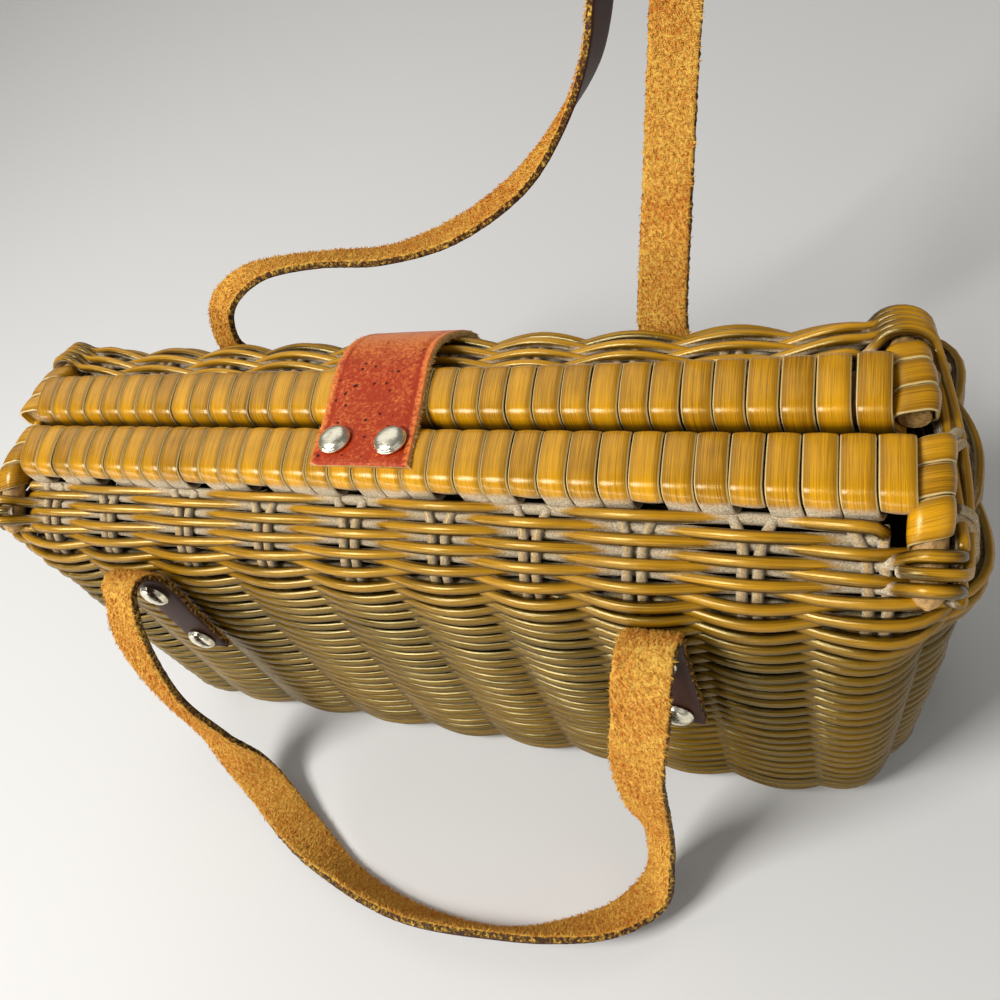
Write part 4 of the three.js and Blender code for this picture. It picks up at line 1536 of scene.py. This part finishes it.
def turn_mesh(name, section, cane, tucked=False, dusty_and_shaded=True):
    """One turn of cane that winds on by its own width round a section, crowned across its width."""
    points, outward = section
    count, across = len(points), len(CANE_SECTION)
    steps = np.linalg.norm(np.roll(points, -1, axis=0) - points, axis=1)
    run = np.concatenate([[0.0], np.cumsum(steps)[:-1]])
    perimeter = run[-1] + steps[-1]
    face = np.abs(points[:, 0]).max() - TURN_FACE["reach"]
    outer, inner = (share_of(sign * points[:, 0], face, TURN_FACE["fade"]) for sign in (-1, 1))
    marks = (TURN_TUCK, TURN_DUST, TURN_RECESS_SHADE)
    low, dust, grime = (share_of(-points[:, 1], -mark["from"], mark["over"]) for mark in marks)
    pull = tucked * outer * low * (3 - 2 * low) * low
    half_width = (cane.pitch - cane.seam) / 2 * (1 - TURN_TUCK["narrower"] * pull)
    vertices, uv = [], []
    for i in range(count):
        lean = cane.pitch * (0.5 - run[i] / perimeter)
        for share, depth in CANE_SECTION:
            sink = depth * cane.thick + pull[i] * cane.tuck
            y, z = points[i] - outward[i] * sink
            vertices.append((share * half_width[i] + lean, y, z))
            uv.append((run[i], share * half_width[i]))
    faces = [face[:1] + face[:0:-1] for face in tube_faces(count, across)]  # wound the other way
    attributes = {
        "dust": np.repeat(dusty_and_shaded * outer * dust, across),
        # Painted shade on the inner face low down, in the groove between the rims
        "grime": np.repeat(dusty_and_shaded * inner * grime, across),
    }
    return plain_mesh(name, vertices, faces, attributes=attributes, uv=uv)


def turn_points(name, places, turned, stretch, tucked):
    """Points that turns of cane are set on."""
    attributes = {"turned": np.array(turned), "stretch": np.array(stretch), "tucked": np.array(tucked)}
    return plain_mesh(name, places, attributes=attributes)


def with_sources(name, points, meshes, material, seed):
    """Turns of cane grown from source meshes, which are then removed."""
    sources = [placed(mesh.name, mesh) for mesh in meshes]
    values = {"Plain turn": sources[0], "Tucked turn": sources[-1], "Seed": seed, "Material": material}
    piece = grown(name, points, tool("Cane turns", turn_tree), values)
    for source in sources:
        bpy.data.objects.remove(source)
    return piece


def rim_section():
    """Section of a wrapped rim, crowned over its top."""
    points, outward = filled_section(*bar_section(RIM["width"], RIM["height"], RIM["round"]))
    rise = np.clip(points[:, 1] / (RIM["height"] / 2), 0, 1) * (1 - (points[:, 0] / (RIM["width"] / 2)) ** 2)
    points[:, 1] += RIM_CROWN * rise
    return points, outward


class BASKET_OT_rims(bpy.types.Operator):
    """Wrap the two rims with turns of cane, tucked where a stake pair comes up"""

    bl_idname = "basket.rims"
    bl_label = "Wrapped rims"

    def execute(self, context):
        cane = context.scene.basket_cane
        section = rim_section()
        rng = np.random.default_rng(SEEDS["rims"])
        for side in (FRONT, BACK):
            half, shift = rim_reach(side)
            count = round(2 * half / cane.pitch)
            x = shift + (np.arange(count) + 0.5 - count / 2) * 2 * half / count
            places = np.stack([x, np.full(count, side * RIM_MIDDLE), np.full(count, RIM_LEVEL)], axis=-1)
            tucked = np.zeros(count)
            tucked[[int(np.abs(x - top).argmin()) for top in self.stake_tops(side)]] = 1.0
            lean = rng.normal(0, TURN_STRAY["lean"], count)
            facing = 0.0 if side == FRONT else math.pi
            roll = rng.normal(0, TURN_STRAY["roll"], count)
            turned = np.stack([np.zeros(count), roll, facing + lean], axis=-1)
            swell = np.zeros(count)
            if side == BACK:
                swell = BACK_SWELL["share"] * share_of(x, BACK_SWELL["from"], BACK_SWELL["over"]) ** 2
                places[-1, 0] += BACK_LOOSE
                places[:, 1] += swell * RIM["width"] / 2
            stretch = np.stack([rng.uniform(*TURN_STRAY["width"], count), 1 + swell, 1 + swell], axis=-1)
            points = turn_points("turn_places", places, turned, stretch, tucked)
            plain = turn_mesh("plain_turn", section, cane)
            pulled = turn_mesh("tucked_turn", section, cane, tucked=True)
            name = SIDE_NAMES[side] + "_rim_wrap"
            seed = SEEDS["rim_turns"] + side
            piece = with_sources(name, points, [plain, pulled], cane_finish(context), seed)
            spots = mesh_points(piece.data)
            across = (spots[:, 1] - side * RIM_MIDDLE) / RIM["width"]
            spots[:, 0] -= across * np.interp(spots[:, 0], [-half, half], [TURN_LEAN[LEFT], TURN_LEAN[RIGHT]])
            set_mesh_points(piece.data, spots)
            on_frame(piece, "cane", SIDE_NAMES[side] + "_rim")
            self.core(context, side, half - CORE_INSET, shift, cane)
        return {"FINISHED"}

    @staticmethod
    def stake_tops(side):
        """Where stake pairs come up under a rim."""
        if side == FRONT:
            return FRONT_STAKES
        return racked(BACK_STAKES, RIM_MIDDLE, TOP)

    @staticmethod
    def core(context, side, half, shift, cane):
        """Rod bundle inside a rim, whose ends show past the last turns."""
        points, outward = bar_section(RIM["width"], RIM["height"], RIM["round"])
        ring = points - outward * (cane.thick + cane.tuck) * CORE_SHARE
        ends = (shift - half, shift + half)
        vertices = [(x, side * RIM_MIDDLE + y, RIM_LEVEL + z) for x in ends for y, z in ring]
        mesh = plain_mesh(SIDE_NAMES[side] + "_rim_core", vertices, tube_faces(2, len(ring)))
        set_smooth(mesh, False)
        piece = placed(mesh.name, mesh, finish("core_rod", core_material, context.scene.basket_colours))
        on_frame(piece, "cane", SIDE_NAMES[side] + "_rim")


class BASKET_OT_side_bars(bpy.types.Operator):
    """Make the side bars: bent core rods with a few turns of cane where they close the rims"""

    bl_idname = "basket.side_bars"
    bl_label = "Side bars"

    def execute(self, context):
        cane = context.scene.basket_cane
        weave = context.scene.basket_weave
        rods = Strands()
        places, bars, nodes = [], [], []
        for side in (FRONT, BACK):
            path, even = side_bar_path(side)
            for end in (LEFT, RIGHT):
                rod = np.stack([side_bar_x(side, end, path[:, 0]), path[:, 0], path[:, 1]], axis=-1)
                taper = np.sqrt(np.clip((even[-1] - even) / ROD_ROUND, 0.02, 1))
                radius = (SIDE_BAR["height"] / 2 - cane.thick * ROD_SHARE) * taper
                shown = even > ROD_INSET
                rods.add(smoothed(rod[shown]), 0.0, (0.0, 0.0, 1.0), radius[shown])
                places += [((i + 0.5) * cane.pitch, len(bars) * BAR_ROW, 0.0) for i in range(cane.bar_turns)]
                bars.append((side, end))
                nodes.append(f"{SIDE_NAMES[side]}_{END_NAMES[end]}_side_bar")
        wood = finish("core_rod", core_material, context.scene.basket_colours)
        core = rods.grow("side_bar_cores", wood, 2 * weave.sides)
        on_frame(core, "cane", *nodes)
        count = len(places)
        section = filled_section(*bar_section(SIDE_BAR["height"], SIDE_BAR["height"], BAR_CORNER, 5))
        unturned, unscaled = np.zeros((count, 3)), np.ones((count, 3))
        points = turn_points("turn_places", places, unturned, unscaled, np.zeros(count))
        meshes = [turn_mesh("bar_turn", section, cane, dusty_and_shaded=False)]
        piece = with_sources("side_bar_wraps", points, meshes, cane_finish(context), SEEDS["bar_turns"])
        self.bend(piece.data, bars)
        on_frame(piece, "cane", *nodes)
        return {"FINISHED"}

    @staticmethod
    def bend(mesh, bars):
        """Carries turns from straight rows, one row for each bar, on to the bent bars."""
        points = mesh_points(mesh)
        row = np.rint(points[:, 1] / BAR_ROW).astype(int)
        for index, (side, end) in enumerate(bars):
            mine = row == index
            along, across, up = points[mine].T
            place, ahead = side_bar_at(side, along)
            stretch = SIDE_BAR_WIDTH[side] / SIDE_BAR["height"]
            points[mine, 0] = side_bar_x(side, end, place[:, 0]) - side * stretch * (across - index * BAR_ROW)
            points[mine, 1] = place[:, 0] - side * ahead[:, 1] * up
            points[mine, 2] = place[:, 1] + np.abs(ahead[:, 0]) * up
        set_mesh_points(mesh, points)


def curve_through(rows, shares):
    """Points on a centripetal curve through rows, as the solids' routes are drawn."""
    rows = np.asarray(rows, dtype=float)
    padded = np.concatenate([[2 * rows[0] - rows[1]], rows, [2 * rows[-1] - rows[-2]]])
    scaled = np.asarray(shares) * (len(rows) - 1)
    piece = np.minimum(scaled.astype(int), len(rows) - 2)
    w = (scaled - piece)[:, None]
    p0, p1, p2, p3 = (padded[piece + i] for i in range(4))
    gaps = [np.linalg.norm(b - a, axis=1, keepdims=True) ** 0.5 for a, b in ((p0, p1), (p1, p2), (p2, p3))]
    d1 = np.where(gaps[1] < 1e-4, 1.0, gaps[1])
    d0 = np.where(gaps[0] < 1e-4, d1, gaps[0])
    d2 = np.where(gaps[2] < 1e-4, d1, gaps[2])
    t1 = d1 * ((p1 - p0) / d0 - (p2 - p0) / (d0 + d1) + (p2 - p1) / d1)
    t2 = d1 * ((p2 - p1) / d1 - (p3 - p1) / (d1 + d2) + (p3 - p2) / d2)
    c2 = -3 * p1 + 3 * p2 - 2 * t1 - t2
    c3 = 2 * p1 - 2 * p2 + t1 + t2
    return p1 + w * (t1 + w * (c2 + w * c3))


def directions(path):
    """Direction along a path at each of its points."""
    return unit(np.gradient(path, axis=0))


def strip_mesh(name, middles, alongs, acrosses, section, attributes):
    """Closed strip of leather: a section of across and face offsets carried along a path."""
    acrosses = unit(acrosses - alongs * np.sum(acrosses * alongs, axis=1, keepdims=True))
    faces_out = np.cross(acrosses, alongs)
    rings, count = len(middles), section[0].shape[-1]
    across = np.broadcast_to(section[0], (rings, count))[..., None]
    face = np.broadcast_to(section[1], (rings, count))[..., None]
    vertices = middles[:, None, :] + acrosses[:, None, :] * across + faces_out[:, None, :] * face
    return plain_mesh(name, vertices.reshape(-1, 3), tube_faces(rings, count), attributes=attributes)


def leather_section(width, thick, corner, flats=8, steps=4):
    """Rounded flat section from its +across edge: across, face and how much each point is a cut edge."""
    half_a, half_f = width / 2 - corner, thick / 2 - corner
    across, face, cut = [], [], []
    for sign_a, sign_f, start in ((1, 1, 0), (-1, 1, 90), (-1, -1, 180), (1, -1, 270)):
        for i in range(steps + 1):
            angle = math.radians(start + 90 * i / steps)
            across.append(sign_a * half_a + corner * math.cos(angle))
            face.append(sign_f * half_f + corner * math.sin(angle))
            cut.append(abs(math.cos(angle)))
        if start in (0, 180):
            for i in range(1, flats):
                across.append(sign_a * half_a * (1 - 2 * i / flats))
                face.append(sign_f * thick / 2)
                cut.append(0.0)
    return np.array(across), np.array(face), np.array(cut)


def grown_nap(name, mesh, leather, hide):
    """Loose fibres that stand where a leather mesh is marked as flesh."""
    turns = (0.0, 2 * math.pi / 3, 4 * math.pi / 3)
    base = [(leather.nap_thick * math.cos(turn), leather.nap_thick * math.sin(turn), 0.0) for turn in turns]
    tip = [leather.nap_length * share for share in NAP_LEAN]
    fibre = placed("fibre", plain_mesh("fibre", [*base, tip], [(0, 1, 3), (1, 2, 3), (2, 0, 3), (0, 2, 1)]))
    values = {"Fibre": fibre, "Density": leather.nap_density, "Seed": SEEDS["nap"], "Material": hide}
    piece = grown(name, mesh, tool("Nap", nap_tree), values)
    bpy.data.objects.remove(fibre)
    set_smooth(piece.data, False)
    points = mesh_points(piece.data)
    points[:, 2] = np.maximum(points[:, 2], 0.0)
    set_mesh_points(piece.data, points)
    return piece


class BASKET_OT_flap(bpy.types.Operator):
    """Lay the leather flap over both rims and down the back, with pressed lines along its edges"""

    bl_idname = "basket.flap"
    bl_label = "Closure flap"

    def execute(self, context):
        leather = context.scene.basket_leather
        steps = 220
        straight = FLAP_ROUTE * np.array([0, 1, 1])
        middles = curve_through(straight, np.linspace(0, 1, steps))
        alongs = directions(middles)
        across, face, cut = leather_section(leather.flap_width, leather.flap_thick, FLAP_EDGE["corner"], 30)
        from_edge = leather.flap_width / 2 - np.abs(across)
        crease = np.exp(-(((from_edge - leather.crease_inset) / FLAP_EDGE["crease"]) ** 2))
        face = np.where(face > 0, face - leather.crease_depth * crease, face)
        acrosses = np.repeat([[1.0, 0.0, 0.0]], steps, axis=0)
        rubbed = np.clip(1.0 - from_edge / FLAP_EDGE["rubbed"], 0, 1) * 0.7 - 0.5 * crease
        run = np.linspace(0, 1, steps)
        # Lighter at the top bend, partly from rubbing and partly as a painted sheen, and a little lighter
        # further along
        bend = np.exp(-(((middles[:, 1] - FLAP_BEND_RUB_AND_SHEEN["y"]) / FLAP_BEND_RUB_AND_SHEEN["over"]) ** 2))
        rub_and_sheen = (rubbed[None, :] + 0.75 * bend[:, None] + 0.12 * run[:, None]).ravel()
        raw = np.where(face < -leather.flap_thick * 0.2, 1.0, np.where(cut > 0.75, 0.8, 0.0))
        flesh = np.where(cut > 0.75, 1.0, 0.0)
        carried = {"rubbed": rub_and_sheen, "raw": np.tile(raw, steps), "flesh": np.tile(flesh, steps)}
        mesh = strip_mesh("closure_flap_leather", middles, alongs, acrosses, (across, face), carried)
        points = mesh_points(mesh)
        rising = FLAP_ROUTE[:-1]
        points[:, 0] += np.interp(points[:, 1], rising[:, 1], rising[:, 0])
        set_mesh_points(mesh, points)
        hide = finish("flap_hide", flap_material, context.scene.basket_colours)
        on_frame(grown_nap("closure_flap_nap", mesh.copy(), leather, hide), "flap_leather", "closure_flap")
        on_frame(placed(mesh.name, mesh, hide), "flap_leather", "closure_flap")
        return {"FINISHED"}


class BASKET_OT_handles(bpy.types.Operator):
    """Cut the two handle straps, rough on the flesh side and smooth on the grain side"""

    bl_idname = "basket.handles"
    bl_label = "Handles"

    def execute(self, context):
        leather = context.scene.basket_leather
        rng = np.random.default_rng(SEEDS["handles"])
        steps = 640
        for node, (route, flesh_side) in HANDLES.items():
            rows = np.array(route, dtype=float)
            shares = np.linspace(0, 1, steps)
            middles = curve_through(rows[:, :3] * MM, shares)
            alongs = directions(middles)
            acrosses = curve_through(rows[:, 3:], shares)
            width, corner = leather.strap_width, STRAP_EDGE["corner"]
            across, face, cut = leather_section(width, leather.strap_thick, corner, 10)
            fray = rng.normal(0, STRAP_EDGE["fray"], (steps, len(across))) * (0.35 + cut)
            flesh = np.where(cut > 0.8, 0.46, np.where(np.sign(face) == flesh_side, 1.0, 0.0))
            section = (across[None, :] + fray * np.sign(across), np.broadcast_to(face, fray.shape))
            carried = {"flesh": np.tile(flesh, steps)}
            mesh = strip_mesh(node + "_strap", middles, alongs, acrosses, section, carried)
            hide = finish("strap_hide", suede_material, context.scene.basket_colours)
            on_frame(grown_nap(node + "_nap", mesh.copy(), leather, hide), "strap_leather", node)
            on_frame(placed(mesh.name, mesh, hide), "strap_leather", node)
        return {"FINISHED"}


class BASKET_OT_heads(bpy.types.Operator):
    """Set the snap caps on the flap and the rivets on the flap's back end and the handle tabs"""

    bl_idname = "basket.heads"
    bl_label = "Caps and rivets"

    def execute(self, context):
        leather = context.scene.basket_leather
        metal = context.scene.basket_metal
        places, axes, nodes = [], [], []
        cap_y = FLAP_ROUTE[0, 1] + CAP_FROM_END
        cap_x = np.interp(cap_y, FLAP_ROUTE[:3, 1], FLAP_ROUTE[:3, 0])
        foot = FLAP_ROUTE[-1]
        off = leather.flap_thick / 2 + SEAT
        for end in (LEFT, RIGHT):
            places.append((cap_x + end * CAP_SPREAD, cap_y, FLAP_ROUTE[0, 2] + off))
            axes.append((0.0, 0.0, 1.0))
            places.append((foot[0] + end * CAP_SPREAD, foot[1] + off, FLAP_RIVET_Z))
            axes.append((0.0, 1.0, 0.0))
            nodes += [f"snap_cap_{END_NAMES[end]}", f"flap_rivet_{END_NAMES[end]}"]
        for (side, end), x in TAB_X.items():
            tilt = math.atan(TAB_LEAN[side])
            axis = np.array([0.0, side * math.cos(tilt), -side * math.sin(tilt)])
            for place in ("lower", "upper"):
                z = TAB[place + "_rivet"] - TAB_DROP.get((side, end), 0)
                seat = np.array([x, tab_y(side, z), z]) * MM + axis * (leather.strap_thick / 2 + SEAT)
                places.append(tuple(seat))
                axes.append(tuple(axis))
                nodes.append(f"{SIDE_NAMES[side]}_{END_NAMES[end]}_rivet_{place}")
        points = plain_mesh("head_places", places, attributes={"axis": np.array(axes)})
        head = placed("head", self.head_mesh(metal))
        plated = finish("plated_metal", metal_material, context.scene.basket_colours)
        values = {"Head": head, "Material": plated}
        piece = grown("caps_and_rivets", points, tool("Caps and rivets", head_tree), values)
        bpy.data.objects.remove(head)
        on_frame(piece, "snap_metal", *nodes)
        return {"FINISHED"}

    @staticmethod
    def head_mesh(metal):
        """Domed head with a rolled edge, standing on its flat face."""
        sides, arcs = 40, 9
        profile = [(metal.radius * out, metal.edge * up) for out, up in HEAD_EDGE]
        rise = metal.height - metal.edge
        for i in range(arcs):
            angle = math.pi / 2 * i / arcs
            up = HEAD_DOME["start"] + (1 - HEAD_DOME["start"]) * math.sin(angle)
            profile.append((metal.radius * HEAD_DOME["shoulder"] * math.cos(angle), metal.edge + rise * up))
        vertices, faces = [(0.0, 0.0, 0.0)], []
        for radius, height in profile:
            for i in range(sides):
                angle = 2 * math.pi * i / sides
                vertices.append((radius * math.cos(angle), radius * math.sin(angle), height))
        rings = len(profile)
        vertices.append((0.0, 0.0, metal.height))
        for i in range(sides):
            after = (i + 1) % sides
            faces.append((0, 1 + after, 1 + i))
            for ring in range(rings - 1):
                low, high = 1 + ring * sides, 1 + (ring + 1) * sides
                faces.append((low + i, low + after, high + after, high + i))
            faces.append((1 + (rings - 1) * sides + i, 1 + (rings - 1) * sides + after, len(vertices) - 1))
        return plain_mesh("head", vertices, faces)


class BASKET_OT_stage(bpy.types.Operator):
    """Lay a pale floor and set the camera and soft lights"""

    bl_idname = "basket.stage"
    bl_label = "Stage"

    def execute(self, context):
        stage = context.scene.basket_stage
        corners = [(FLOOR_REACH * x, FLOOR_REACH * y, 0) for x, y in ((-1, -1), (1, -1), (1, 1), (-1, 1))]
        mesh = plain_mesh("floor", corners, [(0, 1, 2, 3)])
        floor = placed("floor", mesh, floor_material(context.scene.basket_colours))
        camera_data = bpy.data.cameras.new("camera")
        camera_data.lens = stage.lens
        camera_data.sensor_width = 36
        camera_data.clip_start = 0.01
        camera = bpy.data.objects.new("camera", camera_data)
        forward = Vector(stage.forward).normalized()
        right = Vector(stage.right)
        right = (right - forward * right.dot(forward)).normalized()
        up = right.cross(forward)
        camera.matrix_world = Matrix((right, up, -forward)).transposed().to_4x4()
        camera.location = stage.place
        context.scene.collection.objects.link(camera)
        context.scene.camera = camera
        for name, (place, size) in LIGHTS.items():
            self.light(context, name, getattr(stage, name), place, size)
        world = bpy.data.worlds.new("soft_sky")
        world.use_nodes = True
        sky = world.node_tree.nodes["Background"]
        sky.inputs["Color"].default_value = SKY_COLOUR
        sky.inputs["Strength"].default_value = stage.sky
        context.scene.world = world
        context.scene.view_settings.view_transform = "Standard"
        return {"FINISHED"}

    @staticmethod
    def light(context, name, power, place, size):
        """Soft oblong light that faces the middle of the basket."""
        data = bpy.data.lights.new(name, "AREA")
        data.energy = power
        data.shape = "RECTANGLE"
        data.size, data.size_y = size
        lamp = bpy.data.objects.new(name, data)
        lamp.location = place
        aim = LIGHT_AIM - Vector(place)
        lamp.rotation_euler = aim.to_track_quat("-Z", "Y").to_euler()
        context.scene.collection.objects.link(lamp)


OPERATORS = (
    BASKET_OT_stage,
    BASKET_OT_wall,
    BASKET_OT_shoulder,
    BASKET_OT_stakes,
    BASKET_OT_floor,
    BASKET_OT_rims,
    BASKET_OT_side_bars,
    BASKET_OT_flap,
    BASKET_OT_handles,
    BASKET_OT_heads,
)


class BASKET_PT_panel(bpy.types.Panel):
    """Lists the steps that build the bag, and its sizes and colours"""

    bl_label = "Wicker basket bag"
    bl_idname = "BASKET_PT_panel"
    bl_space_type = "VIEW_3D"
    bl_region_type = "UI"
    bl_category = "Basket"

    def draw(self, context):
        for operator in OPERATORS:
            self.layout.operator(operator.bl_idname)
        for name, settings in SETTINGS.items():
            box = self.layout.box()
            box.label(text=settings.__doc__)
            for key in settings.__annotations__:
                box.prop(getattr(context.scene, name), key)


def register():
    for settings in SETTINGS.values():
        bpy.utils.register_class(settings)
    for name, settings in SETTINGS.items():
        setattr(bpy.types.Scene, name, bpy.props.PointerProperty(type=settings))
    for operator in OPERATORS:
        bpy.utils.register_class(operator)
    bpy.utils.register_class(BASKET_PT_panel)


def unregister():
    bpy.utils.unregister_class(BASKET_PT_panel)
    for operator in reversed(OPERATORS):
        bpy.utils.unregister_class(operator)
    for name in SETTINGS:
        delattr(bpy.types.Scene, name)
    for settings in reversed(list(SETTINGS.values())):
        bpy.utils.unregister_class(settings)


def main():
    register()
    for operator in OPERATORS:
        step = operator.bl_idname.split(".")[1]
        getattr(bpy.ops.basket, step)()


if __name__ == "__main__":
    main()
